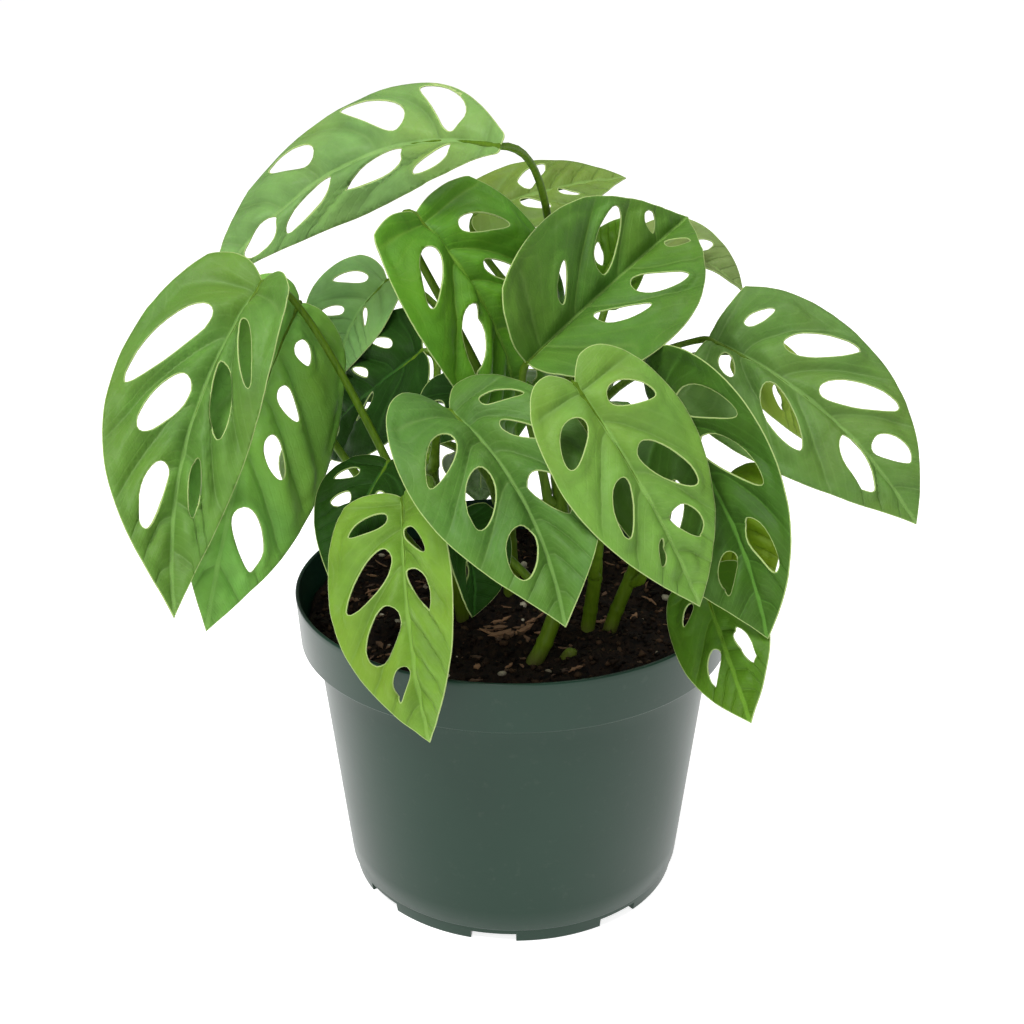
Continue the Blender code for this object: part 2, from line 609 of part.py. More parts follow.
def make_pot(plastic):
    shoulder = POT_HEIGHT - RIM_BAND
    band_foot = RIM_RADIUS - BAND_DRAFT
    outer = [
        (RIM_RADIUS - 0.7, POT_HEIGHT), (RIM_RADIUS, POT_HEIGHT - 0.8), (band_foot, shoulder + 0.6),
        (band_foot - 0.6, shoulder), (SHOULDER_RADIUS, shoulder - 0.4),
        (body_radius(FOOT_HEIGHT), FOOT_HEIGHT), (body_radius(FOOT_HEIGHT) - FOOT_STEP, FOOT_HEIGHT - 0.8),
        (BASE_RADIUS - FOOT_STEP, 0.6), (BASE_RADIUS - FOOT_STEP - 0.6, 0), (0, 0),
    ]
    inner = [
        (0, FLOOR), (BASE_RADIUS - WALL - 2.5, FLOOR), (BASE_RADIUS - WALL - FOOT_STEP, FLOOR + 2.0),
        (SHOULDER_RADIUS - WALL, shoulder - 0.4), (band_foot - WALL - 0.4, shoulder + 1.6),
        (RIM_RADIUS - WALL - 0.7, POT_HEIGHT - 0.8), (RIM_RADIUS - WALL, POT_HEIGHT),
    ]
    pot = add_object("pot", turned_mesh("pot", outer + inner, POT_SEGMENTS), plastic)
    for notch in notch_boxes():
        boolean(pot, notch, "DIFFERENCE")
    return pot


def make_soil(mix):
    """The potting mix fills the pot to below the rim, and every stem stands in a socket in it."""
    gap = GAP / MM
    edge = RIM_RADIUS - BAND_DRAFT - WALL - 1.0 - gap
    rings = np.arange(SOIL_RINGS) / SOIL_RINGS
    profile = [(edge * part, SOIL_TOP + SOIL_MOUND * (1 - part**2)) for part in rings]
    shoulder = POT_HEIGHT - RIM_BAND
    foot = BASE_RADIUS - WALL - gap
    profile += [
        (edge, SOIL_TOP), (edge, shoulder + 2.4), (SHOULDER_RADIUS - WALL - gap, shoulder),
        (foot - FOOT_STEP, FLOOR + 2.0 + gap), (foot - 2.5, FLOOR + gap), (0, FLOOR + gap),
    ]
    soil = add_object("soil", turned_mesh("soil", profile, SOIL_SECTORS), mix)
    for vertex in soil.data.vertices:
        if vertex.co.z > (SOIL_TOP - 0.1) * MM:
            x, y = vertex.co.xy / MM
            bumps = math.sin(0.21 * x + 1.3) * math.cos(0.17 * y) + math.sin(0.33 * y + 0.11 * x)
            vertex.co.z += SOIL_ROUGHNESS * bumps * MM
    for name in STEMS:
        path, radii = stem_path(name)
        socket = add_helper("socket_of_" + name, tube_mesh("socket", path, radii + 1.2 * GAP, STEM_SIDES))
        boolean(soil, socket, "DIFFERENCE")
    return soil


def shade_round(item):
    item.data.shade_smooth()
    item.data.set_sharp_from_angle(angle=math.radians(40))


def main():
    for old in list(bpy.data.objects):
        bpy.data.objects.remove(old, do_unlink=True)
    plastic = material("pot_plastic", (0.050, 0.090, 0.062), 0.45)
    mix = material("potting_mix", (0.022, 0.014, 0.009), 0.95)
    bark = material("stem", (0.115, 0.235, 0.045), 0.5)
    greens = {
        "bright": material("leaf_bright", (0.170, 0.340, 0.040), 0.42),
        "light": material("leaf_light", (0.120, 0.280, 0.055), 0.42),
        "mid": material("leaf_mid", (0.065, 0.190, 0.035), 0.42),
        "dark": material("leaf_dark", (0.025, 0.095, 0.018), 0.42),
    }
    shade_round(make_pot(plastic))
    shade_round(make_soil(mix))
    for name in STEMS:
        path, radii = stem_path(name)
        shade_round(add_object(name, tube_mesh(name, path, radii, STEM_SIDES), bark))
    for leaf in LEAVES:
        shade_round(make_leaf(leaf, greens[leaf.green], bark))


main()
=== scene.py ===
"""The looks of a swiss-cheese monstera in a plastic nursery pot.

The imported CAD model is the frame, in metres, with the origin at the middle of the pot's flat
underside and the front towards -Y. Tables give millimetres, degrees and fractions of a leaf's
length, or the unit they name. Shapes use the CAD part's own values, so that each piece lies
where its node is.
"""

import math
from dataclasses import dataclass

import bmesh
import bpy
import numpy as np
from mathutils import Matrix, Vector, noise
from mathutils.geometry import delaunay_2d_cdt


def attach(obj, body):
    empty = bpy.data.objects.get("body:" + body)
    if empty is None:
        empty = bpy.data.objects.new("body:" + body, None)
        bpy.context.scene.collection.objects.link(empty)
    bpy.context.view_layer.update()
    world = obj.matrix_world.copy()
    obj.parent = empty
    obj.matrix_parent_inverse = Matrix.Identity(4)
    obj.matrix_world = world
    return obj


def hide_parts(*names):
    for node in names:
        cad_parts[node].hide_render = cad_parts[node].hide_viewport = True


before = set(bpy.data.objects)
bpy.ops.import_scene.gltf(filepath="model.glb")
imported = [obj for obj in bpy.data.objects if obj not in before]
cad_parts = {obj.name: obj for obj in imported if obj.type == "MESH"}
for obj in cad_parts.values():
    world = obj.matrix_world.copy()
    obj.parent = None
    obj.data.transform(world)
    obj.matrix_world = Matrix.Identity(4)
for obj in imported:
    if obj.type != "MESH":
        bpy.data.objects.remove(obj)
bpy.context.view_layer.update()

MM = 0.001
rng = np.random.default_rng(7)

# The camera: where it stands, its pitch below the horizon and its lens on a 36 mm sensor
CAMERA_PLACE = (-0.0008, -0.505, 0.347)
CAMERA_PITCH = 22.47
CAMERA_LENS = 54.5

# The pot, a 6-inch azalea nursery pot
POT_HEIGHT = 112.0
RIM_RADIUS = 78.0
RIM_BAND = 18.5
BAND_DRAFT = 1.2
SHOULDER_RADIUS = 71.2
BASE_RADIUS = 61.0
FOOT_HEIGHT = 5.5
FOOT_STEP = 0.8
WALL = 1.3
FLOOR = 2.0
POT_SEGMENTS = 192
NOTCH_COUNT = 8
NOTCH_WIDTH = 16.0
NOTCH_HEIGHT = 3.4
NOTCH_REACH = 9.0
NOTCH_ANGLE = -97.0

# The potting mix
SOIL_TOP = 100.0
SOIL_EDGE = RIM_RADIUS - BAND_DRAFT - WALL - 1.5  # radius of its surface, mm
SOIL_MOUND = 3.5
SOIL_ROUGHNESS = 0.9
SOIL_RINGS = 76
SOIL_SECTORS = 168
SOIL_GRAIN = 1.5  # how far the fine relief rises and falls, mm
CRUMBS = 3600
PEBBLES = 60
CHIPS = 150
BUNDLE = 12  # of those, the chips that lie together
BUNDLE_PLACE = (0.0, -23.0)

# Leaves
BLADE_THICKNESS = 0.42
STALK_RADIUS_FOOT = 1.7
STALK_RADIUS_TOP = 1.1
STALK_RADIUS_TIP = 0.6
RIB_END_RADIUS = 0.25
STALK_SIDES = 12
STALK_STEPS = 20
MIDRIB_REACH = 0.16
RIB_REACH = 0.74  # how far the raised rib runs under the blade, as a fraction of its length
STEM_SIDES = 20
RING_GAP = 13.0  # between the rings that old leaves left on a stem, mm
OUTLINE_STEPS = 6
HOLE_CORNERS = 26
GRID = 1.4  # spacing of the points inside a blade, mm
MARGIN = 0.34  # width of the pale edge, mm

# Relief of a blade, in mm
DOME = 2.3  # rise between two side veins
CREASE = 0.8  # depth along each side vein
COLLAR = 0.28  # depth of the vein that runs round near the margin
GROOVE = 0.75  # depth along the midrib
WAVE = 0.6  # waves of the margin
LIP = 0.40  # roll of the edge and of each hole
TROUGH = 0.35  # depth behind that lip
COCKLE = 0.55  # uneven puckers


@dataclass
class Leaf:
    """One leaf. Sides are as seen along the blade from stalk to tip, upper face up."""

    name: str
    base: tuple  # where the stalk meets the blade, mm
    tip: tuple  # mm
    widths: tuple  # left half and right half of the blade, mm
    roll: float  # turn of the upper face about the line from base to tip, towards the left
    arch: float  # rise of the midrib over that line, by its length
    sway: float  # the same, to the left
    lift: float  # how steeply each half rises from the midrib
    bend: float  # how much each half turns on its way out; negative droops
    twist: float  # extra turn at the tip
    lobe: float  # how far the lobes reach back behind the base, by the blade's length
    belly: float  # shifts the widest place towards the tip
    stem: str  # the stem that carries it
    foot: float  # height on that stem, as a fraction
    green: str
    bow: tuple = (0, 0)  # pushes the middle of the stalk this far in X and Y, mm
    taper: float = 0  # how much narrower the blade is towards its base


# Half of a blade's outline: (fraction of the length, fraction of the half width)
HALF_OUTLINE = (
    (0.0, 0.0), (-0.045, 0.10), (-0.085, 0.28), (-0.07, 0.55), (0.02, 0.80), (0.15, 0.95),
    (0.30, 1.0), (0.46, 0.95), (0.62, 0.80), (0.77, 0.56), (0.88, 0.31), (0.95, 0.13), (1.0, 0.0),
)
LOBE_DEPTH = 0.085  # of the outline above

# Stems: points from the soil up, in mm, and the radius at the foot and at the top
STEMS = {
    "stem_front": (((0, -44, 90), (11, -41, 110), (17, -33, 134), (14, -20, 162)), 2.9, 2.3),
    "stem_fork_left": (((23.6, -22.8, 90), (26.5, -22, 112), (27.5, -27, 132), (23, -37, 152)), 2.6, 2.1),
    "stem_fork_right": (((29.8, -21.8, 90), (35, -20.5, 108), (41.5, -21, 127), (46, -31, 150)), 2.6, 2.1),
    "stem_left": (((-16, -12, 90), (-20, -16, 120), (-26, -19, 148), (-28, -21, 168)), 3.0, 2.0),
    "stem_middle": (((0, 4, 90), (-2, 5, 126), (-4, 3, 162), (-6, 2, 192)), 3.2, 2.0),
    "stem_back": (((14, 20, 90), (18, 24, 126), (22, 27, 156), (24, 28, 182)), 3.2, 2.0),
    "stem_stub": (((16, -39, 92), (17.5, -40, 101), (20.5, -40.5, 104.5)), 2.4, 2.1),
}

# Holes of each leaf, left half and right half: inner vein and reach and outer vein and reach, in hundredths,
# and width in mm
HOLES = {
    "leaf_01": (
        ((12, 26, 18, 78, 5.5), (24, 22, 39, 62, 8), (52, 33, 69, 50, 4)),
        ((12, 26, 21, 83, 10), (31, 20, 41, 62, 9), (56, 27, 72, 69, 7)),
    ),
    "leaf_02": (
        ((11, 12, 14, 30, 7), (26, 12, 27, 42, 7), (40, 20, 46, 50, 8), (64, 16, 77, 73, 10)),
        ((50, 30, 60, 70, 6),),
    ),
    "leaf_03": (
        ((13, 20, 19, 62, 4), (28, 15, 46, 50, 6.5), (54, 15, 70, 70, 6), (75, 16, 87, 58, 7)),
        ((12, 20, 18, 86, 8.5), (28, 18, 33.5, 84, 9), (54, 38, 60, 90, 8)),
    ),
    "leaf_04": (
        ((11, 20, 14, 66, 6), (24, 18, 31, 60, 5), (38, 18, 45, 50, 4), (66, 20, 74, 50, 4)),
        ((12, 28, 15, 80, 8), (32, 26, 40, 79, 11)),
    ),
    "leaf_05": (
        ((21, 20, 22, 55, 5), (45, 22, 57, 85, 11), (76, 40, 80, 82, 7)),
        ((26, 20, 28, 62, 10), (50, 25, 46, 83, 12), (78, 25, 78, 80, 7)),
    ),
    "leaf_06": (
        ((7, 28, 11, 70, 4), (17, 25, 23, 55, 5.5), (42, 22, 55, 62, 8)),
        ((15, 38, 19, 84, 8), (31, 30, 46, 73, 9.5), (60, 21, 76, 70, 10)),
    ),
    "leaf_07": (
        ((10, 20, 13, 72, 7.5), (30, 20, 43, 76, 8.5), (58, 28, 68, 72, 7.5)),
        ((11, 30, 15, 78, 8), (36, 27, 46, 78, 7.5), (65, 30, 72, 65, 4)),
    ),
    "leaf_08": (
        ((15, 15, 17, 62, 4.5), (30, 19, 34, 68, 7)),
        ((8, 16, 11, 66, 4.5), (20, 16, 28, 76, 8.5), (42, 20, 58, 68, 8.5), (67, 20, 79, 55, 4)),
    ),
    "leaf_09": (
        ((9, 30, 11, 62, 4.5), (20, 30, 23, 86, 10), (42, 14, 52, 88, 9), (67, 22, 76, 82, 8)),
        ((9, 14, 14, 36, 5), (25, 22, 40, 72, 9.5), (59, 14, 78, 62, 9)),
    ),
    "leaf_10": (
        ((12, 30, 17, 85, 9), (26, 20, 36, 80, 9.5), (56, 35, 71, 78, 8.5)),
        ((30, 30, 42, 75, 6), (66, 20, 78, 68, 5)),
    ),
    "leaf_11": (
        ((36, 40, 58, 70, 4.5),),
        ((12, 30, 16, 60, 3), (46, 20, 62, 68, 4)),
    ),
    "leaf_12": (
        ((30, 20, 36, 60, 3),),
        ((10, 24, 16, 72, 4.5), (40, 24, 40, 70, 3)),
    ),
    "leaf_13": (
        ((30, 20, 38, 50, 4), (61, 33, 66, 65, 6)),
        ((12, 30, 17, 60, 3.5), (32, 20, 37, 50, 3)),
    ),
    "leaf_14": (
        ((30, 30, 36, 70, 4),),
        ((14, 36, 16, 75, 5), (34, 34, 38, 66, 4)),
    ),
    "leaf_15": (
        ((30, 20, 36, 80, 6.5),),
        ((26, 20, 26, 73, 5), (50, 25, 52, 70, 4)),
    ),
    "leaf_16": (
        ((40, 25, 45, 75, 4),),
        ((35, 30, 40, 70, 3),),
    ),
    "leaf_17": (
        (),
        ((30, 30, 40, 70, 3),),
    ),
    "leaf_18": (
        ((30, 25, 38, 70, 4),),
        ((30, 25, 38, 70, 4),),
    ),
    "leaf_19": (
        ((30, 25, 38, 70, 4),),
        ((30, 25, 38, 70, 4),),
    ),
    "leaf_20": (
        ((30, 25, 38, 70, 4),),
        ((30, 25, 38, 70, 4),),
    ),
    "leaf_21": (
        ((30, 25, 38, 70, 4),),
        ((40, 25, 48, 70, 4),),
    ),
    "leaf_22": (
        ((12, 20, 16, 75, 6), (33, 20, 40, 75, 7), (58, 20, 66, 70, 5)),
        ((15, 20, 18, 75, 6), (38, 20, 45, 75, 7), (60, 20, 70, 70, 5)),
    ),
    "leaf_23": (
        ((12, 20, 16, 75, 6), (33, 20, 40, 75, 7), (58, 20, 66, 70, 5)),
        ((15, 20, 18, 75, 6), (38, 20, 45, 75, 7), (60, 20, 70, 70, 5)),
    ),
    "leaf_24": (
        ((14, 20, 18, 75, 6), (36, 20, 43, 75, 6)),
        ((12, 20, 16, 75, 5), (33, 20, 40, 75, 6), (58, 20, 66, 70, 4)),
    ),
    "leaf_25": (
        ((20, 20, 25, 75, 5), (45, 20, 52, 75, 5)),
        ((20, 20, 25, 75, 5), (45, 20, 52, 75, 5)),
    ),
    "leaf_26": (
        ((30, 20, 38, 70, 4),),
        ((30, 20, 38, 70, 4),),
    ),
}

LEAVES = (
    Leaf("leaf_01", (-81, -17, 225), (-103, -84, 138), (24, 29), -15, 0.04, -0.085, 26, -22, 60,
         0.035, -0.02, "stem_left", 0.4, "mid", (-6, 6)),
    Leaf("leaf_02", (-72, 3, 213), (-97, -69, 126), (38, 22), 60, 0.02, -0.05, -2, -28, -15,
         0.036, 0.06, "stem_left", 0.3, "mid", (-24, 10)),
    Leaf("leaf_03", (-5, -29, 270), (-102, 6, 217), (21, 36), 61, -0.05, -0.19, -3, -56, 8,
         0.007, -0.06, "stem_back", 0.85, "light", (-4, 23), 0.84),
    Leaf("leaf_04", (-32, -7, 245), (0, 2, 164), (37, 36), -47, 0.16, -0.03, 21, -29, -13,
         0.02, -0.04, "stem_middle", 0.9, "mid"),
    Leaf("leaf_05", (4, -30, 202), (63, 55, 231), (34, 38), -40, -0.03, 0.01, 40, -6, 8,
         0.045, 0.15, "stem_front", 0.9, "dark", (3, 5)),
    Leaf("leaf_06", (-20, -48, 192), (15, -98, 142), (28, 35), 0, 0.105, 0.03, 31, -34, -38,
         0.078, -0.05, "stem_left", 0.95, "mid"),
    Leaf("leaf_07", (18, -65, 206), (56, -82, 141), (26, 25), -34, 0.05, 0.01, 13, -20, 4,
         0.085, 0.03, "stem_fork_left", 0.6, "light", (9, -8)),
    Leaf("leaf_08", (-35, -56, 166), (-26, -91, 99), (23, 26), -47, 0.095, 0.035, 24, -16, 5,
         0.033, 0.09, "stem_left", 0.7, "bright", (2, -8)),
    Leaf("leaf_09", (70, 36, 191), (141, -4, 135), (34, 33), -38, 0.095, 0.043, 9, -25, 0,
         0.005, -0.04, "stem_back", 0.8, "mid"),
    Leaf("leaf_10", (44, -25, 187), (79, -74, 126), (29, 32), -62, 0.08, 0.11, 26, -6, 3,
         0.064, 0.06, "stem_fork_right", 0.75, "mid", (6, -8)),
    Leaf("leaf_11", (61, -46, 133), (73, -88, 104), (18, 17), -46, 0, 0, 6, -12, 0,
         0.042, 0.02, "stem_fork_right", 0.6, "dark"),
    Leaf("leaf_12", (-46, 45, 210), (-63, 33, 177), (16, 21), 12, 0.12, -0.05, 20, -18, 20,
         0.05, 0.04, "stem_middle", 0.8, "mid"),
    Leaf("leaf_13", (-32, 14, 193), (-73, 47, 148), (27, 25), 59, 0.065, 0.037, 16, -23, 2,
         0.041, 0, "stem_left", 0.97, "dark"),
    Leaf("leaf_14", (-42, -21, 165), (-59, -55, 137), (16, 18), 0, 0.11, 0.037, 12, -20, 0,
         0.04, 0, "stem_left", 0.6, "dark"),
    Leaf("leaf_15", (-14, 50, 233), (41, 66, 243), (19, 18), -27, 0.065, -0.01, 12, -25, 5,
         0.04, 0, "stem_back", 0.95, "mid"),
    Leaf("leaf_16", (46, 59, 218), (84, 52, 204), (16, 13), -18, 0.128, 0.014, 23, -5, 3,
         0.04, 0, "stem_back", 0.9, "mid"),
    Leaf("leaf_17", (-19, -49, 156), (-14, -51, 122), (16, 14), -16, 0.114, 0, 26, -16, 0,
         0.04, 0.1, "stem_front", 0.5, "dark"),
    Leaf("leaf_18", (87, 56, 180), (117, 46, 144), (16, 15), -30, 0.08, 0, 12, -20, 0,
         0.04, 0, "stem_back", 0.7, "light"),
    Leaf("leaf_19", (76, 12, 146), (88, -22, 117), (16, 15), -40, 0.08, 0, 12, -20, 0,
         0.04, 0, "stem_fork_right", 0.9, "light"),
    Leaf("leaf_20", (28, 58, 199), (48, 90, 225), (14, 14), -30, 0, 0, 20, -15, 0,
         0.04, 0, "stem_back", 0.8, "mid", (-4, 0)),
    Leaf("leaf_21", (-16, -3, 186), (-28, -18, 169), (14, 12), 20, 0.08, 0, 14, -20, 0,
         0.04, 0, "stem_middle", 0.75, "dark"),
    Leaf("leaf_22", (15, 78, 165), (24, 132, 112), (26, 25), 10, 0.09, 0.02, 12, -25, 0,
         0.06, 0, "stem_back", 0.6, "mid"),
    Leaf("leaf_23", (-40, 76, 160), (-72, 122, 108), (24, 25), -8, 0.09, -0.02, 12, -25, 0,
         0.06, 0, "stem_middle", 0.6, "mid"),
    Leaf("leaf_24", (45, 80, 150), (72, 126, 104), (22, 23), 5, 0.09, 0.02, 12, -25, 0,
         0.06, 0, "stem_back", 0.45, "mid"),
    Leaf("leaf_25", (-62, 68, 150), (-92, 100, 102), (19, 20), -5, 0.09, 0, 14, -25, 0,
         0.05, 0, "stem_middle", 0.45, "light"),
    Leaf("leaf_26", (-12, 66, 136), (-14, 104, 98), (16, 17), 6, 0.08, 0, 16, -25, 0,
         0.05, 0, "stem_back", 0.25, "bright"),
)


# The colour of each leaf's upper face, in thousandths: its own green with the light or shade at its place in
# the plant painted in, lighter on the outer leaves and near-black painted shade on those deep inside
# (leaf_13, 14, 17, 21, 26)
LEAF_COLOURS_WITH_SHADE = {
    "leaf_01": (80, 180, 29), "leaf_02": (141, 333, 56), "leaf_03": (127, 243, 66), "leaf_04": (60, 180, 10),
    "leaf_05": (63, 155, 19), "leaf_06": (65, 157, 25), "leaf_07": (111, 228, 35), "leaf_08": (119, 232, 24),
    "leaf_09": (83, 173, 33), "leaf_10": (38, 100, 11), "leaf_11": (50, 129, 7), "leaf_12": (141, 287, 81),
    "leaf_13": (12, 42, 5), "leaf_14": (12, 42, 5), "leaf_15": (109, 186, 31), "leaf_16": (138, 202, 56),
    "leaf_17": (12, 48, 5), "leaf_18": (245, 375, 55), "leaf_19": (115, 205, 5), "leaf_20": (73, 194, 5),
    "leaf_21": (12, 42, 5), "leaf_22": (51, 137, 12), "leaf_23": (62, 152, 25), "leaf_24": (81, 180, 31),
    "leaf_25": (119, 238, 40), "leaf_26": (13, 42, 5),
}
LEAF_SHINE = 0.16  # specular level, less on the dark leaves inside the plant
MARGIN_COLOUR = (0.360, 0.460, 0.170)
RIB_COLOUR = (0.190, 0.300, 0.090)
UNDERSIDE_COLOUR = (0.110, 0.190, 0.060)


# Light: the white surround, the floor's own glow, and each lamp's name, place, size in metres and power
WORLD_STRENGTH = 0.30
FLOOR_GLOW = 0.76
FLOOR_REACH = 14.0
LAMPS = (
    ("key", (-0.45, -0.55, 1.30), 0.5, 16.0),
    ("top", (0.45, 0.15, 1.40), 0.6, 7.0),
    ("front", (-0.25, -1.50, 0.70), 0.8, 7.0),
)


def smooth_points(points, steps):
    """Points on a Catmull-Rom curve through the given ones."""
    given = np.array(points, float)
    ends = np.vstack([2 * given[0] - given[1], given, 2 * given[-1] - given[-2]])
    found = []
    for a, b, c, d in zip(ends, ends[1:], ends[2:], ends[3:]):
        for t in np.arange(steps) / steps:
            found.append(
                b + 0.5 * t * (c - a + t * (2 * a - 5 * b + 4 * c - d + t * (3 * (b - c) + d - a)))
            )
    found.append(given[-1])
    return np.array(found)


def unit(vector):
    return vector / np.linalg.norm(vector)


def blade_frame(leaf):
    """The base, the line to the tip, and the unit vectors up and left of that line, in metres."""
    base = np.array(leaf.base, float) * MM
    line = np.array(leaf.tip, float) * MM - base
    along = unit(line)
    up = unit(np.array([0.0, 0.0, 1.0]) - along[2] * along)
    left = np.cross(up, along)
    roll = math.radians(leaf.roll)
    up, left = up * math.cos(roll) + left * math.sin(roll), left * math.cos(roll) - up * math.sin(roll)
    return base, line, up, left


def blade_points(leaf, places, drop=0.0):
    """World points for (fraction along the midrib, fraction of the half width, left positive)."""
    places = np.atleast_2d(places)
    along, across = places[:, 0], places[:, 1]
    base, line, up, left = blade_frame(leaf)
    bow = (up * leaf.arch + left * leaf.sway) * np.linalg.norm(line)
    spine = base + np.outer(along, line) + np.outer(4 * along * (1 - along), bow)
    tangent = line + np.outer(4 - 8 * along, bow)
    tangent /= np.linalg.norm(tangent, axis=1)[:, None]
    normal = up - (tangent @ up)[:, None] * tangent
    normal /= np.linalg.norm(normal, axis=1)[:, None]
    side = np.cross(normal, tangent)
    turn = np.radians(leaf.twist * along)[:, None]
    normal, side = normal * np.cos(turn) + side * np.sin(turn), side * np.cos(turn) - normal * np.sin(turn)
    width = np.where(across >= 0, leaf.widths[0], leaf.widths[1]) * MM
    lift = math.radians(leaf.lift)
    bend = math.radians(leaf.bend)
    outward = np.abs(across)
    reach = width * (np.sin(lift + bend * outward) - math.sin(lift)) / bend
    rise = width * (math.cos(lift) - np.cos(lift + bend * outward)) / bend
    flat = spine + side * (np.sign(across) * reach)[:, None]
    return flat + normal * (rise - drop)[:, None]


def half_outline(leaf, steps):
    places = smooth_points(HALF_OUTLINE, steps)
    along = places[:, 0]
    back = along * leaf.lobe / LOBE_DEPTH
    forward = along + 1.5 * leaf.belly * along * (1 - along) * (1.2 - along)
    places[:, 0] = np.where(along < 0, back, forward)
    places[:, 1] *= 1 - leaf.taper * np.clip(1 - along, 0, 1) ** 3
    return places


def vein(start, outward):
    """Where the side vein that leaves the midrib at start is, at this fraction of the half width."""
    ease = np.clip(start / 0.25, 0.0, 1.0)
    sweep = -0.10 + 0.40 * ease * ease * (3 - 2 * ease)
    return start + sweep * outward**1.5


def vein_start(along, outward):
    """Where the side vein through each place leaves the midrib: the reverse of vein()."""
    start = along.copy()
    for _ in range(12):
        start += 0.7 * (along - vein(start, outward))
    return start


def vein_end(leaf, start):
    """The fraction of the half width at which a side vein meets the margin."""
    half = half_outline(leaf, 2)
    front = half[np.argmax(half[:, 1] > 0.85):]
    outward = 0.1
    while outward < np.interp(vein(start, outward), front[:, 0], front[:, 1]):
        outward += 0.01
    return outward


def scale_of(leaf, places):
    """Metres for one unit along and one unit across, at each place."""
    length = np.linalg.norm(np.subtract(leaf.tip, leaf.base)) * MM
    width = np.where(places[:, 1] >= 0, leaf.widths[0], leaf.widths[1]) * MM
    return np.stack([np.full(len(places), length), width], axis=1)


def flat_places(leaf, places):
    """Places laid flat in metres."""
    return places * scale_of(leaf, places)


def unflatten(leaf, corners):
    """The fractions back from flat metres."""
    corners = np.array(corners)
    return corners / scale_of(leaf, corners)


def hundredths(values):
    return [value / 100 for value in values]


def hole_outline(leaf, hole, side, corners):
    """An egg round a line that follows the side veins, broad towards the midrib."""
    *ends, width = hole
    inner_vein, inner_reach, outer_vein, outer_reach = hundredths(ends)
    turns = np.arange(corners) / corners * 2 * math.pi
    line = []
    for part in (1 - np.cos(turns)) / 2:
        start = inner_vein + (outer_vein - inner_vein) * part
        outward = (inner_reach + (outer_reach - inner_reach) * part) * vein_end(leaf, start)
        line.append((vein(start, outward), side * outward))
    flat = flat_places(leaf, np.array(line))
    direction = unit(flat[corners // 2] - flat[0])
    across = np.array([-direction[1], direction[0]])
    swell = width * MM / 2 * np.sin(turns) * (1 + 0.2 * np.cos(turns))
    return flat + np.outer(swell, across)


def blade_loops(leaf):
    """The outer loop and the hole loops of a blade, flat in metres."""
    half = half_outline(leaf, OUTLINE_STEPS)
    loops = [flat_places(leaf, np.vstack([half, half[1:-1][::-1] * (1, -1)]))]
    for holes, side in zip(HOLES[leaf.name], (1, -1)):
        for hole in holes:
            loops.append(hole_outline(leaf, hole, side, HOLE_CORNERS))
    return loops


def encloses(loop, points):
    """Which points are inside a closed loop."""
    ahead = np.roll(loop, -1, axis=0)
    crosses = (loop[:, 1] > points[:, 1:]) != (ahead[:, 1] > points[:, 1:])
    rise = np.where(ahead[:, 1] == loop[:, 1], 1.0, ahead[:, 1] - loop[:, 1])
    where = loop[:, 0] + (points[:, 1:] - loop[:, 1]) / rise * (ahead[:, 0] - loop[:, 0])
    return (crosses & (where > points[:, :1])).sum(axis=1) % 2 == 1


def distance_to(loop, points):
    """How far each point is from a closed loop."""
    run = np.roll(loop, -1, axis=0) - loop
    offset = points[:, None] - loop[None]
    part = (offset * run).sum(axis=2) / np.maximum((run**2).sum(axis=1), 1e-12)
    nearest = offset - np.clip(part, 0, 1)[..., None] * run
    return np.linalg.norm(nearest, axis=2).min(axis=1)


def on_blade(loops, points, clear):
    """The points that lie on the blade and this far from every edge."""
    kept = points[encloses(loops[0], points)]
    for hole in loops[1:]:
        kept = kept[~encloses(hole, kept)]
    for loop in loops:
        kept = kept[distance_to(loop, kept) > clear]
    return kept


def inset(loop, inwards):
    """The loop's points moved to one side by the width of the pale edge."""
    along = np.roll(loop, -1, axis=0) - np.roll(loop, 1, axis=0)
    along /= np.linalg.norm(along, axis=1)[:, None]
    return loop + inwards * MARGIN * MM * np.stack([-along[:, 1], along[:, 0]], axis=1)


def turning(loop):
    """1 for a loop that runs anticlockwise, -1 for one that runs clockwise."""
    ahead = np.roll(loop, -1, axis=0)
    return np.sign((loop[:, 0] * ahead[:, 1] - ahead[:, 0] * loop[:, 1]).sum())


def inner_points(leaf, loops):
    """The points that a blade's triangles use besides its edges: the pale edge, the midrib and a grid."""
    rings = [inset(loop, turning(loop) * (1 if loop is loops[0] else -1)) for loop in loops]
    length, half_width = np.ptp(loops[0], axis=0)
    start, side = loops[0].min(axis=0)
    step = GRID * MM
    rows = np.arange(0.0, half_width + step, step * 0.87)
    grid = []
    for index, row in enumerate(rows):
        along = np.arange(start + index % 2 * step / 2, start + length, step)
        grid.append(np.stack([along, np.full(len(along), side + row)], axis=1))
    rib = np.arange(0.004, 0.985, 0.012) * length
    rib_rows = [np.stack([rib, np.full(len(rib), across * MM)], axis=1) for across in (-0.9, 0.0, 0.9)]
    grid = np.vstack(grid)
    grid = grid[np.abs(grid[:, 1]) > 1.6 * MM]
    ring = on_blade(loops, np.vstack(rings), MARGIN * MM * 0.9)
    return np.vstack([ring, on_blade(loops, np.vstack([grid, *rib_rows]), MARGIN * MM * 1.9)])


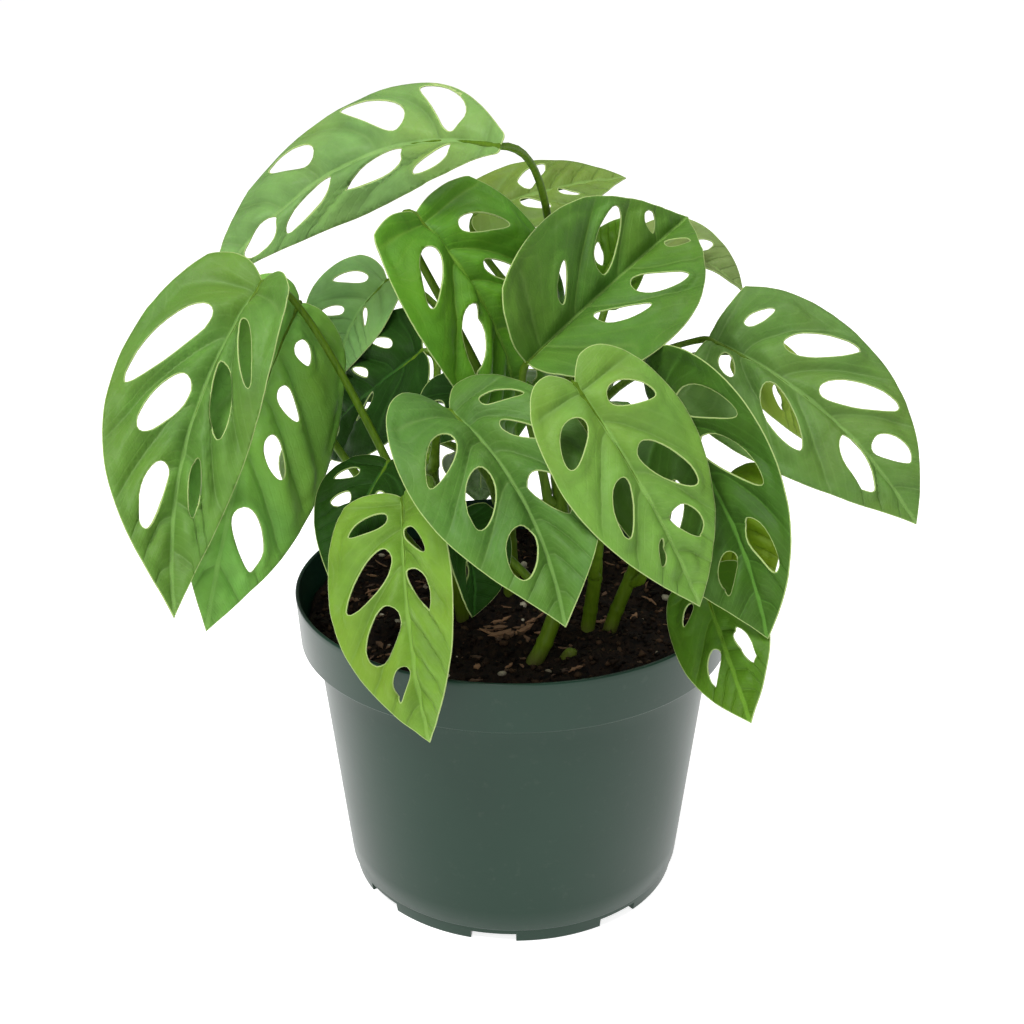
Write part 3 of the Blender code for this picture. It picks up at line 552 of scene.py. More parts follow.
def vein_count(leaf, places):
    """A number at each place that is whole on a main side vein and a half on the line through a hole."""
    outward = np.abs(places[:, 1])
    start = vein_start(places[:, 0], outward)
    count = np.zeros(len(places))
    for holes, side in zip(HOLES[leaf.name], (1, -1)):
        mine = places[:, 1] * side >= 0
        lines = [np.full(len(places), -0.16), np.full(len(places), -0.02)]
        for *ends, _ in sorted(holes):
            inner_vein, inner_reach, outer_vein, outer_reach = hundredths(ends)
            reach = np.clip((outward - inner_reach) / (outer_reach - inner_reach), -0.3, 1.2)
            lines.append(np.maximum(inner_vein + (outer_vein - inner_vein) * reach, lines[-1] + 0.05))
        for _ in range(12):
            lines.append(lines[-1] + 0.14)
        for low, high in zip(lines, lines[1:]):
            count += np.where(mine, np.clip((start - low) / (high - low), 0, 1), 0)
    return count - 0.5


def bell(offset, width):
    """1 at no offset, falling away on both sides."""
    return np.exp(-((offset / width) ** 2))


def smooth_step(value):
    """0 below 0, 1 above 1 and a smooth rise between."""
    value = np.clip(value, 0, 1)
    return value * value * (3 - 2 * value)


def blade_relief(leaf, places, flat, loops):
    """How far each place rises from the smooth blade, in metres, and the fields that its colours follow."""
    outward = np.abs(places[:, 1])
    count = vein_count(leaf, places)
    off_vein = np.abs(count - np.round(count))
    rib = np.abs(flat[:, 1]) / MM
    to_margin = distance_to(loops[0], flat) / MM
    edge = np.min([distance_to(loop, flat) for loop in loops[1:]] + [to_margin * MM], axis=0) / MM
    length = np.linalg.norm(np.subtract(leaf.tip, leaf.base))
    size = min(length / 85, 1.15)
    window = np.clip(rib / 3.5, 0, 1) * smooth_step(to_margin / 8)
    dome = DOME * size * np.sin(math.pi * off_vein) ** 2 * window
    crease = -CREASE * bell(off_vein, 0.08) * window
    collar = -COLLAR * bell(outward - 0.8, 0.045) * np.clip(1.1 - places[:, 0], 0, 1)
    groove = -GROOVE * bell(rib, 1.1) * np.clip(1.1 - places[:, 0], 0, 1)
    phase = sum(map(ord, leaf.name))
    wave = WAVE * outward**3 * np.sin(9 * places[:, 0] + phase + 2 * np.sign(places[:, 1]))
    lip = LIP * bell(edge - 1.4, 1.2) - TROUGH * bell(edge - 4.0, 1.3)
    pucker = np.array([noise.fractal(Vector((x * 90, y * 90, phase)), 0.9, 2.1, 3) for x, y in flat])
    cockle = COCKLE * size * pucker * np.clip(rib / 5, 0, 1)
    return (dome + crease + collar + groove + size * wave + lip + cockle) * MM, (count, outward, rib, edge)


def set_field(mesh, name, values):
    layer = mesh.attributes.new(name, "FLOAT", "POINT")
    layer.data.foreach_set("value", np.asarray(values, np.float32))


def blade_mesh(leaf):
    """The middle surface of the blade, with its holes, relief and the fields its material reads."""
    loops = blade_loops(leaf)
    edges = []
    start = 0
    for loop in loops:
        count = len(loop)
        edges += [(start + i, start + (i + 1) % count) for i in range(count)]
        start += count
    points = np.vstack(loops + [inner_points(leaf, loops)])
    corners, _, faces, *_ = delaunay_2d_cdt([Vector(point) for point in points], edges, [], 1, 1e-7)
    corners = np.array([tuple(corner) for corner in corners])
    middles = np.array([corners[face].mean(axis=0) for face in faces])
    opened = np.zeros(len(faces), bool)
    for hole in loops[1:]:
        opened |= encloses(hole, middles)
    faces = [face for face, gone in zip(faces, opened) if not gone]
    places = unflatten(leaf, corners)
    relief, fields = blade_relief(leaf, places, corners, loops)
    mesh = bpy.data.meshes.new(leaf.name)
    mesh.from_pydata(blade_points(leaf, places, -relief).tolist(), [], faces)
    for name, values in zip(("vein", "outward", "rib", "edge"), fields):
        set_field(mesh, name, values)
    mesh.shade_smooth()
    return mesh


class Graph:
    """A material's nodes, made by calls that take sockets or plain values as inputs."""

    def __init__(self, name):
        self.material = bpy.data.materials.new(name)
        self.material.use_nodes = True
        self.tree = self.material.node_tree
        self.shader = self.tree.nodes["Principled BSDF"]

    def put(self, node, inputs):
        for key, value in inputs.items():
            socket = node.inputs[key]
            if isinstance(value, bpy.types.NodeSocket):
                self.tree.links.new(value, socket)
            elif isinstance(value, tuple) and len(value) == 3 and socket.type == "RGBA":
                socket.default_value = (*value, 1.0)
            else:
                socket.default_value = value
        return node

    def add(self, kind, inputs, **settings):
        node = self.tree.nodes.new("ShaderNode" + kind)
        for key, value in settings.items():
            setattr(node, key, value)
        return self.put(node, inputs)

    def field(self, name):
        return self.add("Attribute", {}, attribute_name=name).outputs["Fac"]

    def place(self):
        return self.add("TexCoord", {}).outputs["Object"]

    def maths(self, operation, first, second=0.0, third=0.0):
        return self.add("Math", {0: first, 1: second, 2: third}, operation=operation).outputs[0]

    def share(self, value, part):
        """This part of the value."""
        return self.maths("MULTIPLY", value, part)

    def fall(self, value, full, none):
        """1 up to full, then down to 0 at none."""
        inputs = {"Value": value, "From Min": full, "From Max": none, "To Min": 1.0, "To Max": 0.0}
        return self.add("MapRange", inputs, interpolation_type="SMOOTHSTEP").outputs["Result"]

    def spread(self, value, low, high):
        """Takes 0..1 to low..high."""
        inputs = {"Value": value, "From Min": 0.0, "From Max": 1.0, "To Min": low, "To Max": high}
        return self.add("MapRange", inputs).outputs["Result"]

    def noise(self, scale, detail=3.0, roughness=0.55):
        inputs = {"Vector": self.place(), "Scale": scale, "Detail": detail, "Roughness": roughness}
        return self.add("TexNoise", inputs).outputs["Fac"]

    def grain(self, scales, detail):
        """Noise with its own scale along X, Y and Z."""
        place = self.add("Mapping", {"Vector": self.place(), "Scale": scales}).outputs[0]
        return self.add("TexNoise", {"Vector": place, "Scale": 1.0, "Detail": detail}).outputs["Fac"]

    def mix(self, part, first, second):
        node = self.add("Mix", {}, data_type="RGBA")
        colour_inputs = [socket for socket in node.inputs if socket.type == "RGBA"]
        for socket, value in zip(colour_inputs, (first, second)):
            if isinstance(value, bpy.types.NodeSocket):
                self.tree.links.new(value, socket)
            else:
                socket.default_value = (*value, 1.0)
        self.put(node, {0: part})
        return [socket for socket in node.outputs if socket.type == "RGBA"][0]

    def bump(self, height, distance, strength):
        inputs = {"Height": height, "Distance": distance, "Strength": strength}
        return self.add("Bump", inputs).outputs["Normal"]

    def finish(self, **inputs):
        self.put(self.shader, {key.replace("_", " "): value for key, value in inputs.items()})
        return self.material


def times(colour, factor):
    return tuple(min(part * factor, 1.0) for part in colour)


def leaf_material(name, colour, underside=False):
    """A leaf's skin: mottled green, pale midrib and edge, creases along the side veins with painted shade in
    them, and a fine net.
    """
    graph = Graph(name)
    vein_gap = graph.maths("PINGPONG", graph.field("vein"), 0.5)
    fine_gap = graph.maths("PINGPONG", graph.share(graph.field("vein"), 6.0), 0.5)
    outward = graph.field("outward")
    rib = graph.field("rib")
    inner = graph.fall(outward, 0.55, 1.0)
    vein_line = graph.share(graph.fall(vein_gap, 0.0, 0.05), inner)
    furrow = graph.share(graph.fall(vein_gap, 0.0, 0.15), inner)
    fine_line = graph.fall(fine_gap, 0.0, 0.16)
    rib_line = graph.fall(rib, 0.35, 1.1)
    edge_line = graph.fall(graph.field("edge"), MARGIN * 0.45, MARGIN * 0.95)
    mottle = graph.noise(70.0, 4.0, 0.6)
    blotch = graph.noise(22.0, 2.0)
    flesh = graph.mix(graph.spread(mottle, -0.25, 1.25), times(colour, 0.66), times(colour, 1.38))
    warm = (colour[0] * 1.35, colour[1] * 1.12, colour[2] * 0.8)
    flesh = graph.mix(graph.spread(blotch, -0.9, 1.3), flesh, warm)
    pale = tuple(0.62 * a + 0.38 * min(b, 3 * a + 0.01) for a, b in zip(colour, RIB_COLOUR))
    # Painted shade: the flesh is darkened in the furrows along the side veins
    flesh = graph.mix(graph.share(furrow, 0.30), flesh, times(colour, 0.62))
    flesh = graph.mix(graph.share(fine_line, 0.16), flesh, times(pale, 1.15))
    flesh = graph.mix(graph.share(vein_line, 0.45), flesh, pale)
    flesh = graph.mix(graph.share(rib_line, 0.85), flesh, times(pale, 1.5))
    if underside:
        flesh = graph.mix(0.5, flesh, UNDERSIDE_COLOUR)
    flesh = graph.mix(graph.share(edge_line, 0.85), flesh, MARGIN_COLOUR)
    cells = graph.add(
        "TexVoronoi", {"Vector": graph.place(), "Scale": 420.0}, feature="DISTANCE_TO_EDGE"
    ).outputs["Distance"]
    net = graph.fall(cells, 0.02, 0.16)
    height = graph.maths("MULTIPLY_ADD", net, -0.45, graph.share(fine_line, -0.5))
    height = graph.maths("MULTIPLY_ADD", vein_line, -1.0, height)
    height = graph.maths("MULTIPLY_ADD", furrow, -3.5, height)
    height = graph.maths("MULTIPLY_ADD", graph.noise(900.0, 2.0), 0.5, height)
    return graph.finish(
        Base_Color=flesh,
        Roughness=graph.spread(graph.noise(160.0, 3.0), 0.42, 0.60),
        Normal=graph.bump(height, 0.00012, 0.55),
        Subsurface_Weight=0.12,
        Subsurface_Radius=(0.5, 1.0, 0.2),
        Subsurface_Scale=0.0012,
        Specular_IOR_Level=min(LEAF_SHINE, 1.2 * colour[1]),
    )


def stem_material():
    """Stems and stalks: streaked green, yellower low down and browned at the soil."""
    graph = Graph("stem_skin")
    height = graph.add("SeparateXYZ", {"Vector": graph.place()}).outputs["Z"]
    low = graph.fall(height, 0.104, 0.150)
    streaks = graph.grain((900.0, 900.0, 60.0), 3.0)
    colour = graph.mix(graph.spread(streaks, -0.3, 1.3), (0.040, 0.095, 0.004), (0.100, 0.180, 0.010))
    colour = graph.mix(graph.share(low, 0.5), colour, (0.100, 0.160, 0.003))
    patchy = graph.spread(graph.noise(260.0), 0.2, 1.0)
    soiled = graph.share(graph.fall(height, 0.101, 0.109), patchy)
    colour = graph.mix(soiled, colour, (0.075, 0.055, 0.025))
    return graph.finish(
        Base_Color=colour,
        Roughness=graph.spread(streaks, 0.38, 0.55),
        Normal=graph.bump(streaks, 0.0002, 0.5),
        Specular_IOR_Level=0.12,
        Subsurface_Weight=0.1,
        Subsurface_Radius=(0.5, 1.0, 0.2),
        Subsurface_Scale=0.002,
    )


def pot_material():
    """Dark green moulded plastic with a satin skin, faint flow marks and a little dust."""
    graph = Graph("moulded_plastic")
    cloud = graph.noise(18.0, 4.0, 0.6)
    speck = graph.noise(1500.0, 2.0)
    rings = graph.grain((12.0, 12.0, 420.0), 4.0)
    colour = graph.mix(graph.spread(cloud, -0.2, 1.2), (0.005, 0.026, 0.014), (0.008, 0.033, 0.019))
    dust = graph.fall(graph.noise(240.0, 5.0, 0.7), 0.30, 0.42)
    colour = graph.mix(graph.share(dust, 0.08), colour, (0.090, 0.105, 0.085))
    height = graph.maths("MULTIPLY_ADD", rings, 0.6, graph.share(speck, 0.4))
    return graph.finish(
        Base_Color=colour,
        Roughness=graph.spread(cloud, 0.27, 0.36),
        Normal=graph.bump(height, 0.00008, 0.35),
        Specular_IOR_Level=0.28,
    )


def mix_material(name, dark, light, scale):
    """Damp peat, bark and grit: each lump has its own tone, broken up by fine grain."""
    graph = Graph(name)
    tone = graph.field("tone")
    grain = graph.noise(scale, 5.0, 0.7)
    part = graph.maths("MULTIPLY_ADD", graph.spread(grain, -0.5, 0.5), 0.9, tone)
    colour = graph.mix(part, dark, light)
    return graph.finish(
        Base_Color=colour,
        Roughness=graph.spread(grain, 0.62, 0.95),
        Normal=graph.bump(grain, 0.0006, 0.8),
        Specular_IOR_Level=0.12,
    )


def bark_material():
    """Dry bark chips with grain along them."""
    graph = Graph("bark_chips")
    grain = graph.grain((500.0, 900.0, 1500.0), 4.0)
    part = graph.maths("MULTIPLY_ADD", graph.spread(grain, -0.5, 0.5), 0.8, graph.field("tone"))
    colour = graph.mix(part, (0.040, 0.020, 0.010), (0.300, 0.160, 0.075))
    return graph.finish(Base_Color=colour, Roughness=0.85, Normal=graph.bump(grain, 0.0005, 0.9))


def add_object(name, data):
    made = bpy.data.objects.new(name, data)
    bpy.context.scene.collection.objects.link(made)
    return made


def add_piece(name, mesh, nodes, slot, *materials):
    """An object that belongs to the plant: it stands for these CAD nodes."""
    made = add_object(name, mesh)
    for item in materials:
        mesh.materials.append(item)
    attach(made, "root")
    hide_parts(*nodes)
    return made


def mesh_of(name, shape):
    mesh = bpy.data.meshes.new(name)
    shape.to_mesh(mesh)
    shape.free()
    return mesh


def ring_frames(path):
    """Unit vectors across a path at each of its points, turning as little as they can."""
    tangents = np.gradient(path, axis=0)
    tangents /= np.linalg.norm(tangents, axis=1)[:, None]
    helper = np.array([1.0, 0.0, 0.0]) if abs(tangents[0][0]) < 0.8 else np.array([0.0, 1.0, 0.0])
    across = unit(np.cross(tangents[0], helper))
    frames = []
    for tangent in tangents:
        across = unit(across - (across @ tangent) * tangent)
        frames.append((across, np.cross(tangent, across)))
    return frames


def tube_mesh(name, path, radii, sides, flute=0.0):
    """A closed tube along a path, in metres, with an optional groove along one side."""
    shape = bmesh.new()
    rings = []
    for point, radius, (across, other) in zip(path, radii, ring_frames(path)):
        ring = []
        for angle in np.arange(sides) / sides * 2 * math.pi:
            reach = radius * (1 - flute * bell(angle - math.pi, 0.5))
            ring.append(shape.verts.new(point + reach * (math.cos(angle) * across + math.sin(angle) * other)))
        rings.append(ring)
    for first, second in zip(rings, rings[1:]):
        for i in range(sides):
            j = (i + 1) % sides
            shape.faces.new((first[i], first[j], second[j], second[i]))
    shape.faces.new(rings[0][::-1])
    shape.faces.new(rings[-1])
    mesh = mesh_of(name, shape)
    mesh.shade_smooth()
    mesh.set_sharp_from_angle(angle=math.radians(50))
    return mesh


def stem_path(name, steps):
    points, foot_radius, top_radius = STEMS[name]
    path = smooth_points(points, steps) * MM
    return path, np.linspace(foot_radius, top_radius, len(path)) * MM


def stalk_path(leaf):
    """From the side of the stem up to the blade, then on along its underside as the raised midrib."""
    stem, stem_radii = stem_path(leaf.stem, 3)
    where = leaf.foot * (len(stem) - 1)
    below = min(int(where), len(stem) - 2)
    part = where - below
    centre = stem[below] * (1 - part) + stem[below + 1] * part
    radius = stem_radii[below] * (1 - part) + stem_radii[below + 1] * part
    base, line, up, _ = blade_frame(leaf)
    outward = base - centre
    outward[2] = 0.0
    outward = unit(outward)
    foot = centre + outward * (radius + (STALK_RADIUS_FOOT + 0.6) * MM)
    start = blade_points(leaf, [(0.0, 0.0)], 0.35 * MM)[0]
    span = np.linalg.norm(start - foot)
    aside = np.array([*leaf.bow, 0.0]) * MM
    rising = foot + np.array([0.0, 0.0, 0.35]) * span + outward * 0.12 * span + aside
    arriving = start - (0.45 * unit(line) + 0.75 * up) * 0.28 * span + aside
    root = centre + outward * radius * 0.3 - np.array([0.0, 0.0, 2.5]) * MM
    curve = [root]
    for t in np.arange(STALK_STEPS) / STALK_STEPS:
        s = 1 - t
        curve.append(s**3 * foot + 3 * s * s * t * rising + 3 * s * t * t * arriving + t**3 * start)
    along = np.linspace(0.0, RIB_REACH, 26)
    under = blade_points(leaf, np.stack([along, 0 * along], axis=1), 0.95 * MM)
    under[0] = start
    path = np.vstack([curve, under])
    swell = 0.35 * bell(np.arange(STALK_STEPS + 1) - STALK_STEPS + 0.5, 1.6)
    sheath = 0.5 * bell(np.arange(STALK_STEPS + 1), 2.2)
    stalk_radii = np.linspace(STALK_RADIUS_FOOT, STALK_RADIUS_TOP, STALK_STEPS + 1)
    stalk_radii *= 1 + 0.6 * swell + 0.4 * sheath
    reaches = (0.0, MIDRIB_REACH, RIB_REACH)
    rib_radii = np.interp(along, reaches, (STALK_RADIUS_TOP, STALK_RADIUS_TIP, RIB_END_RADIUS))
    return path, np.concatenate([stalk_radii, rib_radii]) * MM


def make_leaf(leaf, stem_skin):
    # The leaf's colour from the table, with the painted light or shade for its place in the plant
    colour = tuple(part / 1000 for part in LEAF_COLOURS_WITH_SHADE[leaf.name])
    upper = leaf_material(leaf.name + "_upper", colour)
    under = leaf_material(leaf.name + "_under", times(colour, 0.95), underside=True)
    slot = "leaf_" + leaf.green
    blade = add_piece(leaf.name + "_blade", blade_mesh(leaf), [leaf.name], slot, upper, under)
    thicken = blade.modifiers.new("Thickness", "SOLIDIFY")
    thicken.thickness = BLADE_THICKNESS * MM
    thicken.offset = 0.0
    thicken.material_offset = 1
    path, radii = stalk_path(leaf)
    stalk_mesh = tube_mesh(leaf.name + "_stalk", path, radii, STALK_SIDES, 0.12)
    add_piece(leaf.name + "_stalk", stalk_mesh, [leaf.name], "stem", stem_skin)


def make_stem(name, skin):
    """A stem with the rings that old leaves left round it."""
    path, radii = stem_path(name, 22)
    length = np.concatenate([[0.0], np.cumsum(np.linalg.norm(np.diff(path, axis=0), axis=1))]) / MM
    rings = (length + 5.0) / RING_GAP
    off_ring = np.abs(rings - np.round(rings)) * RING_GAP
    ridge = 0.10 * bell(off_ring, 0.9) - 0.03 * bell(off_ring - 2.0, 1.0)
    radii = radii * (1 + ridge)
    rounding = np.clip((length[-1] - length) / 2.2, 0.0, 1.0)
    radii = radii * np.sqrt(1 - (1 - np.maximum(rounding, 0.08)) ** 2)
    add_piece(name + "_skin", tube_mesh(name, path, radii, STEM_SIDES), [name], "stem", skin)


def turned_mesh(name, profile, segments):
    """A profile of (radius, height) in mm, outer side from top to bottom, turned about Z."""
    shape = bmesh.new()
    rings = []
    angles = np.arange(segments) / segments * 2 * math.pi
    for radius, height in np.array(profile) * MM:
        if radius == 0:
            rings.append([shape.verts.new((0, 0, height))])
            continue
        rings.append([shape.verts.new((radius * math.cos(a), radius * math.sin(a), height)) for a in angles])
    for first, second in zip(rings, rings[1:] + rings[:1]):
        for i in range(segments if len(first) + len(second) > 2 else 0):
            j = (i + 1) % segments
            if len(first) == 1:
                shape.faces.new((first[0], second[i], second[j]))
            elif len(second) == 1:
                shape.faces.new((first[i], second[0], first[j]))
            else:
                shape.faces.new((first[i], second[i], second[j], first[j]))
    return mesh_of(name, shape)


def body_radius(height):
    """Outer radius of the pot's tapered body at a height in mm."""
    return BASE_RADIUS + (SHOULDER_RADIUS - BASE_RADIUS) * height / (POT_HEIGHT - RIM_BAND)


def rounded(radius, height, size, start, end, steps=5):
    """Points on an arc about (radius, height), between two angles in degrees."""
    angles = np.radians(np.linspace(start, end, steps))
    return [(radius + size * math.cos(a), height + size * math.sin(a)) for a in angles]


def notch_boxes():
    """Cutters for the drainage notches round the foot of the pot."""
    middle = BASE_RADIUS + 2 - NOTCH_REACH / 2
    for index in range(NOTCH_COUNT):
        shape = bmesh.new()
        bmesh.ops.create_cube(shape, size=1.0)
        size = Vector((NOTCH_REACH, NOTCH_WIDTH, 2 * NOTCH_HEIGHT)) * MM
        bmesh.ops.scale(shape, vec=size, verts=shape.verts)
        bmesh.ops.translate(shape, vec=(middle * MM, 0, 0), verts=shape.verts)
        turn = Matrix.Rotation(math.radians(NOTCH_ANGLE + index * 360 / NOTCH_COUNT), 4, "Z")
        bmesh.ops.transform(shape, matrix=turn, verts=shape.verts)
        yield add_object(f"notch_{index + 1}", mesh_of("notch", shape))


def make_pot(plastic):
    shoulder = POT_HEIGHT - RIM_BAND
    band_foot = RIM_RADIUS - BAND_DRAFT
    outer = rounded(RIM_RADIUS - 0.65, POT_HEIGHT - 0.65, 0.65, 90, 0)
    outer += [(RIM_RADIUS - 0.15, POT_HEIGHT - 2.4), (RIM_RADIUS - 0.2, POT_HEIGHT - 2.7)]
    outer += rounded(band_foot - 0.6, shoulder + 0.6, 0.6, 0, -90)
    outer += [(SHOULDER_RADIUS + 0.5, shoulder + 0.05), (SHOULDER_RADIUS + 0.1, shoulder - 0.2)]
    outer += [(body_radius(h), h) for h in np.linspace(shoulder - 0.8, FOOT_HEIGHT + 0.5, 12)]
    foot_radius = body_radius(FOOT_HEIGHT) - FOOT_STEP
    outer += [(foot_radius + 0.5, FOOT_HEIGHT), (foot_radius, FOOT_HEIGHT - 0.4)]
    outer += rounded(BASE_RADIUS - FOOT_STEP - 0.6, 0.6, 0.6, 0, -90) + [(0, 0)]
    inner = [(0, FLOOR), (BASE_RADIUS - WALL - 2.5, FLOOR), (BASE_RADIUS - WALL - FOOT_STEP, FLOOR + 2.0)]
    inner += [(body_radius(h) - WALL, h) for h in np.linspace(FLOOR + 3, shoulder - 0.6, 8)]
    inner += [(SHOULDER_RADIUS - WALL + 0.2, shoulder - 0.2), (band_foot - WALL - 0.6, shoulder + 1.1)]
    inner += [(band_foot - WALL - 0.35, shoulder + 1.7), (RIM_RADIUS - WALL - 0.2, POT_HEIGHT - 1.6)]
    inner += rounded(RIM_RADIUS - 0.65, POT_HEIGHT - 0.65, 0.65, 180, 110, 4)
    shell = turned_mesh("pot_shell", outer + inner, POT_SEGMENTS)
    pot = add_piece("pot_shell", shell, ["pot"], "pot_plastic", plastic)
    notches = list(notch_boxes())
    for notch in notches:
        modifier = pot.modifiers.new(notch.name, "BOOLEAN")
        modifier.operation = "DIFFERENCE"
        modifier.object = notch
    graph = bpy.context.evaluated_depsgraph_get()
    pot.data = bpy.data.meshes.new_from_object(pot.evaluated_get(graph))
    pot.modifiers.clear()
    for notch in notches:
        bpy.data.objects.remove(notch, do_unlink=True)
    pot.data.shade_smooth()
    pot.data.set_sharp_from_angle(angle=math.radians(40))


def soil_height(x, y):
    """Height of the potting mix at a place, in mm."""
    rise = SOIL_MOUND * (1 - (x * x + y * y) / SOIL_EDGE**2)
    bumps = math.sin(0.21 * x + 1.3) * math.cos(0.17 * y) + math.sin(0.33 * y + 0.11 * x)
    grain = noise.fractal(Vector((x * 0.22, y * 0.22, 3.0)), 0.8, 2.2, 5)
    return SOIL_TOP + rise + SOIL_ROUGHNESS * bumps + SOIL_GRAIN * grain


def make_soil(mix):
    profile = [(SOIL_EDGE * k / SOIL_RINGS, SOIL_TOP) for k in range(SOIL_RINGS + 1)]
    profile += [
        (SOIL_EDGE, POT_HEIGHT - RIM_BAND + 2.4), (SHOULDER_RADIUS - WALL - 0.4, POT_HEIGHT - RIM_BAND),
        (BASE_RADIUS - WALL - FOOT_STEP - 0.3, FLOOR + 2.3), (BASE_RADIUS - WALL - 2.8, FLOOR + 0.3),
        (0, FLOOR + 0.3),
    ]
    mesh = turned_mesh("soil", profile, SOIL_SECTORS)
    tones = np.zeros(len(mesh.vertices))
    for vertex in mesh.vertices:
        if vertex.co.z > (SOIL_TOP - 0.1) * MM:
            x, y = vertex.co.xy / MM
            vertex.co.z = soil_height(x, y) * MM
            tones[vertex.index] = 0.12 + 0.2 * noise.noise(Vector((x * 0.5, y * 0.5, 9.0)))
    set_field(mesh, "tone", tones)
    mesh.shade_smooth()
    add_piece("soil_bed", mesh, ["soil"], "potting_mix", mix)


def scattered(count, reach):
    """Random places on the potting mix, in mm, evenly spread to within reach of the middle."""
    distance = reach * np.sqrt(rng.random(count))
    angle = rng.random(count) * 2 * math.pi
    return np.stack([distance * np.cos(angle), distance * np.sin(angle)], axis=1)


def lump_mesh(name, places, sizes, tones, flatness, roundness):
    """Many small irregular lumps in one mesh, each with its own tone."""
    ball = bmesh.new()
    bmesh.ops.create_icosphere(ball, subdivisions=2 if roundness > 0.5 else 1, radius=1.0)
    unit_points = np.array([vertex.co[:] for vertex in ball.verts])
    unit_faces = np.array([[vertex.index for vertex in face.verts] for face in ball.faces])
    ball.free()
    points = []
    faces = []
    fields = []
    for (x, y), size, tone in zip(places, sizes, tones):
        rough = 1 + (1 - roundness) * 0.45 * rng.standard_normal(len(unit_points))
        stretch = np.array([1.0 + rng.random() * 0.5, 0.8 + rng.random() * 0.3, flatness])
        heading = Matrix.Rotation(rng.random() * 6.28, 3, "Z")
        turn = np.array(heading @ Matrix.Rotation(rng.normal() * 0.4, 3, "X"))
        shape = (unit_points * rough[:, None] * stretch * size / 2) @ turn.T
        faces.append(unit_faces + sum(map(len, points)))
        points.append(shape + (x, y, soil_height(x, y) + size * flatness * 0.2))
        fields.append(np.full(len(shape), tone))
    mesh = bpy.data.meshes.new(name)
    mesh.from_pydata((np.vstack(points) * MM).tolist(), [], np.vstack(faces).tolist())
    set_field(mesh, "tone", np.concatenate(fields))
    mesh.shade_smooth()
    return mesh


def make_crumbs(mix):
    sizes = 0.6 + 2.3 * rng.random(CRUMBS) ** 3
    tones = np.clip(0.08 + 0.9 * rng.random(CRUMBS) ** 4, 0, 1)
    mesh = lump_mesh("crumbs", scattered(CRUMBS, 71.0), sizes, tones, 0.7, 0.3)
    add_piece("soil_crumbs", mesh, ["soil"], "potting_mix", mix)


def make_pebbles(grit):
    sizes = 1.2 + 2.2 * rng.random(PEBBLES) ** 2
    mesh = lump_mesh("pebbles", scattered(PEBBLES, 68.0), sizes, rng.random(PEBBLES), 0.75, 0.85)
    add_piece("soil_pebbles", mesh, ["soil"], "potting_mix", grit)


def chip_strip(x, y, length, width, heading, tilt):
    """Points of one splinter of bark: a curved strip that narrows to both ends."""
    steps = np.linspace(-1, 1, 9)
    along = np.stack([steps * length / 2, 0.12 * length * steps**2, np.zeros(9)], axis=1)
    half = width / 2 * (1 - np.abs(steps) ** 2.5) * (1 + 0.3 * rng.standard_normal(9)) + 0.1
    thick = np.clip(half * 0.4, 0.12, 0.5)
    corners = []
    for sign_across, sign_up in ((1, 1), (-1, 1), (-1, -1), (1, -1)):
        corners.append(along + np.stack([0 * half, sign_across * half, sign_up * thick], axis=1))
    turn = np.array(Matrix.Rotation(heading, 3, "Z") @ Matrix.Rotation(tilt, 3, "Y"))
    ground = soil_height(x, y) + 0.5 + abs(math.sin(tilt)) * length * 0.3
    return np.stack(corners, axis=1).reshape(-1, 3) @ turn.T + (x, y, ground)


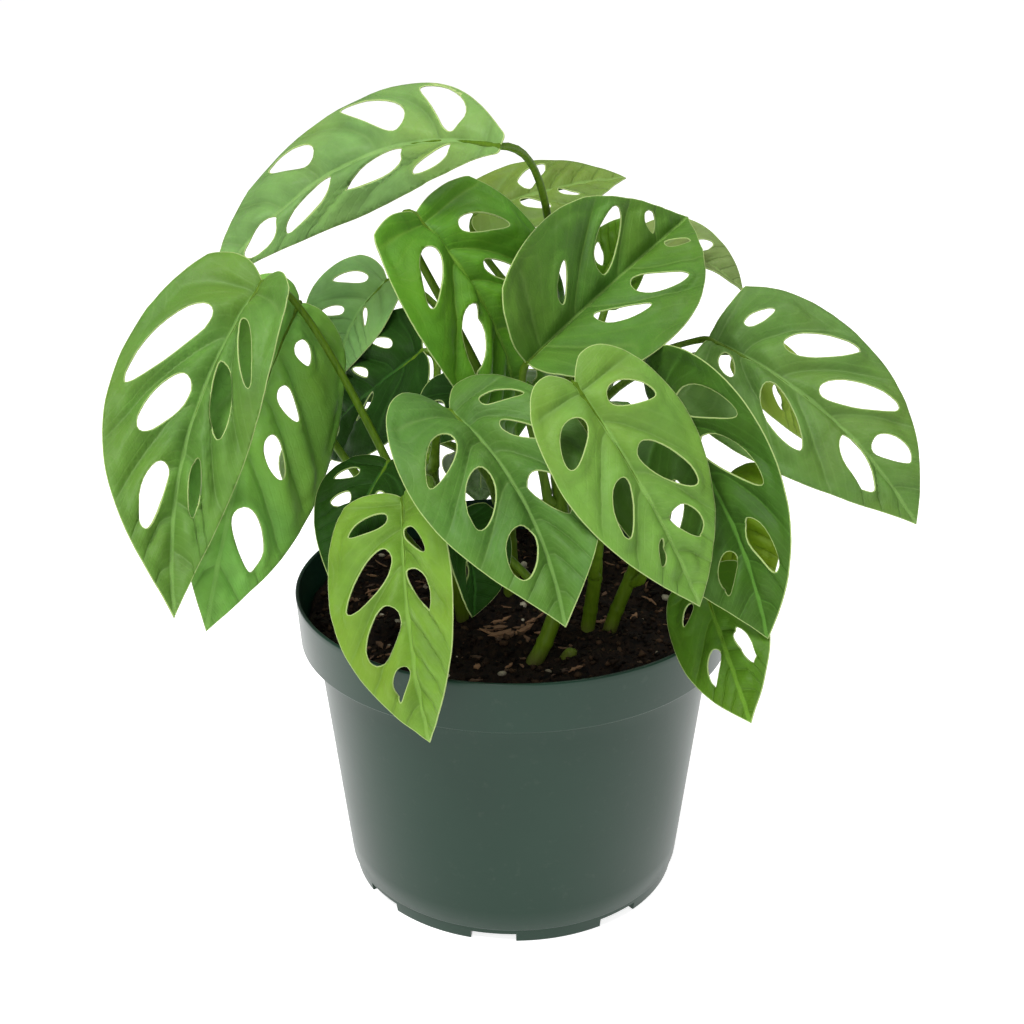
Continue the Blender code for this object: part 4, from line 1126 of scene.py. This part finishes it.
def make_chips(bark):
    """Splinters of bark, a loose bundle of them in front of the stems and the rest strewn about."""
    bundle = [tuple(BUNDLE_PLACE + rng.normal(size=2) * (4, 2.5)) for _ in range(BUNDLE)]
    places = bundle + [tuple(place) for place in scattered(CHIPS - len(bundle), 66.0)]
    points = []
    faces = []
    tones = []
    for index, (x, y) in enumerate(places):
        bundled = index < len(bundle)
        length = rng.uniform(6, 12) if bundled else rng.uniform(2, 8)
        heading = rng.normal(0.5, 0.5) if bundled else rng.uniform(0, 6.28)
        start = sum(map(len, points))
        width = rng.uniform(0.9, 2.2) if bundled else rng.uniform(0.4, 1.5)
        points.append(chip_strip(x, y, length, width, heading, rng.normal() * 0.15))
        for k in range(8):
            for side in range(4):
                a, b = start + 4 * k + side, start + 4 * k + (side + 1) % 4
                faces.append((a, b, b + 4, a + 4))
        faces += [tuple(start + side for side in (3, 2, 1, 0)), tuple(start + 32 + side for side in range(4))]
        tones.append(np.full(36, rng.uniform(0.3, 0.8) if bundled else rng.uniform(0.0, 0.6)))
    mesh = bpy.data.meshes.new("chips")
    mesh.from_pydata((np.vstack(points) * MM).tolist(), [], faces)
    set_field(mesh, "tone", np.concatenate(tones))
    add_piece("soil_chips", mesh, ["soil"], "potting_mix", bark)


def make_stage():
    """A white floor, soft studio light and the camera."""
    scene = bpy.context.scene
    scene.view_settings.view_transform = "Standard"
    graph = Graph("floor")
    paper = graph.finish(
        Base_Color=(0.80, 0.80, 0.80),
        Roughness=0.9,
        Specular_IOR_Level=0.1,
        Emission_Color=(1.0, 1.0, 1.0),
        Emission_Strength=FLOOR_GLOW,
    )
    mesh = bpy.data.meshes.new("floor")
    far = FLOOR_REACH
    mesh.from_pydata([(-far, -far, 0), (far, -far, 0), (far, far, 0), (-far, far, 0)], [], [(0, 1, 2, 3)])
    mesh.materials.append(paper)
    floor = add_object("floor", mesh)
    world = bpy.data.worlds.new("studio")
    world.use_nodes = True
    background = world.node_tree.nodes["Background"]
    background.inputs["Color"].default_value = (1.0, 1.0, 1.0, 1.0)
    background.inputs["Strength"].default_value = WORLD_STRENGTH
    scene.world = world
    for name, place, size, power in LAMPS:
        lamp = bpy.data.lights.new(name, "AREA")
        lamp.size = size
        lamp.energy = power
        holder = add_object(name, lamp)
        holder.location = place
        holder.rotation_euler = (Vector((0, 0, 0.14)) - Vector(place)).to_track_quat("-Z", "Y").to_euler()
    camera = add_object("camera", bpy.data.cameras.new("camera"))
    camera.data.lens = CAMERA_LENS
    camera.data.sensor_width = 36.0
    camera.location = CAMERA_PLACE
    camera.rotation_euler = (math.radians(90 - CAMERA_PITCH), 0, 0)
    scene.camera = camera


plastic = pot_material()
make_pot(plastic)
mix = mix_material("potting_mix_dark", (0.0010, 0.0007, 0.0005), (0.060, 0.033, 0.017), 700.0)
grit = mix_material("grit", (0.110, 0.085, 0.055), (0.480, 0.440, 0.330), 500.0)
make_soil(mix)
make_crumbs(mix)
make_pebbles(grit)
make_chips(bark_material())
stem_skin = stem_material()
for stem_name in STEMS:
    make_stem(stem_name, stem_skin)
for leaf in LEAVES:
    make_leaf(leaf, stem_skin)
make_stage()
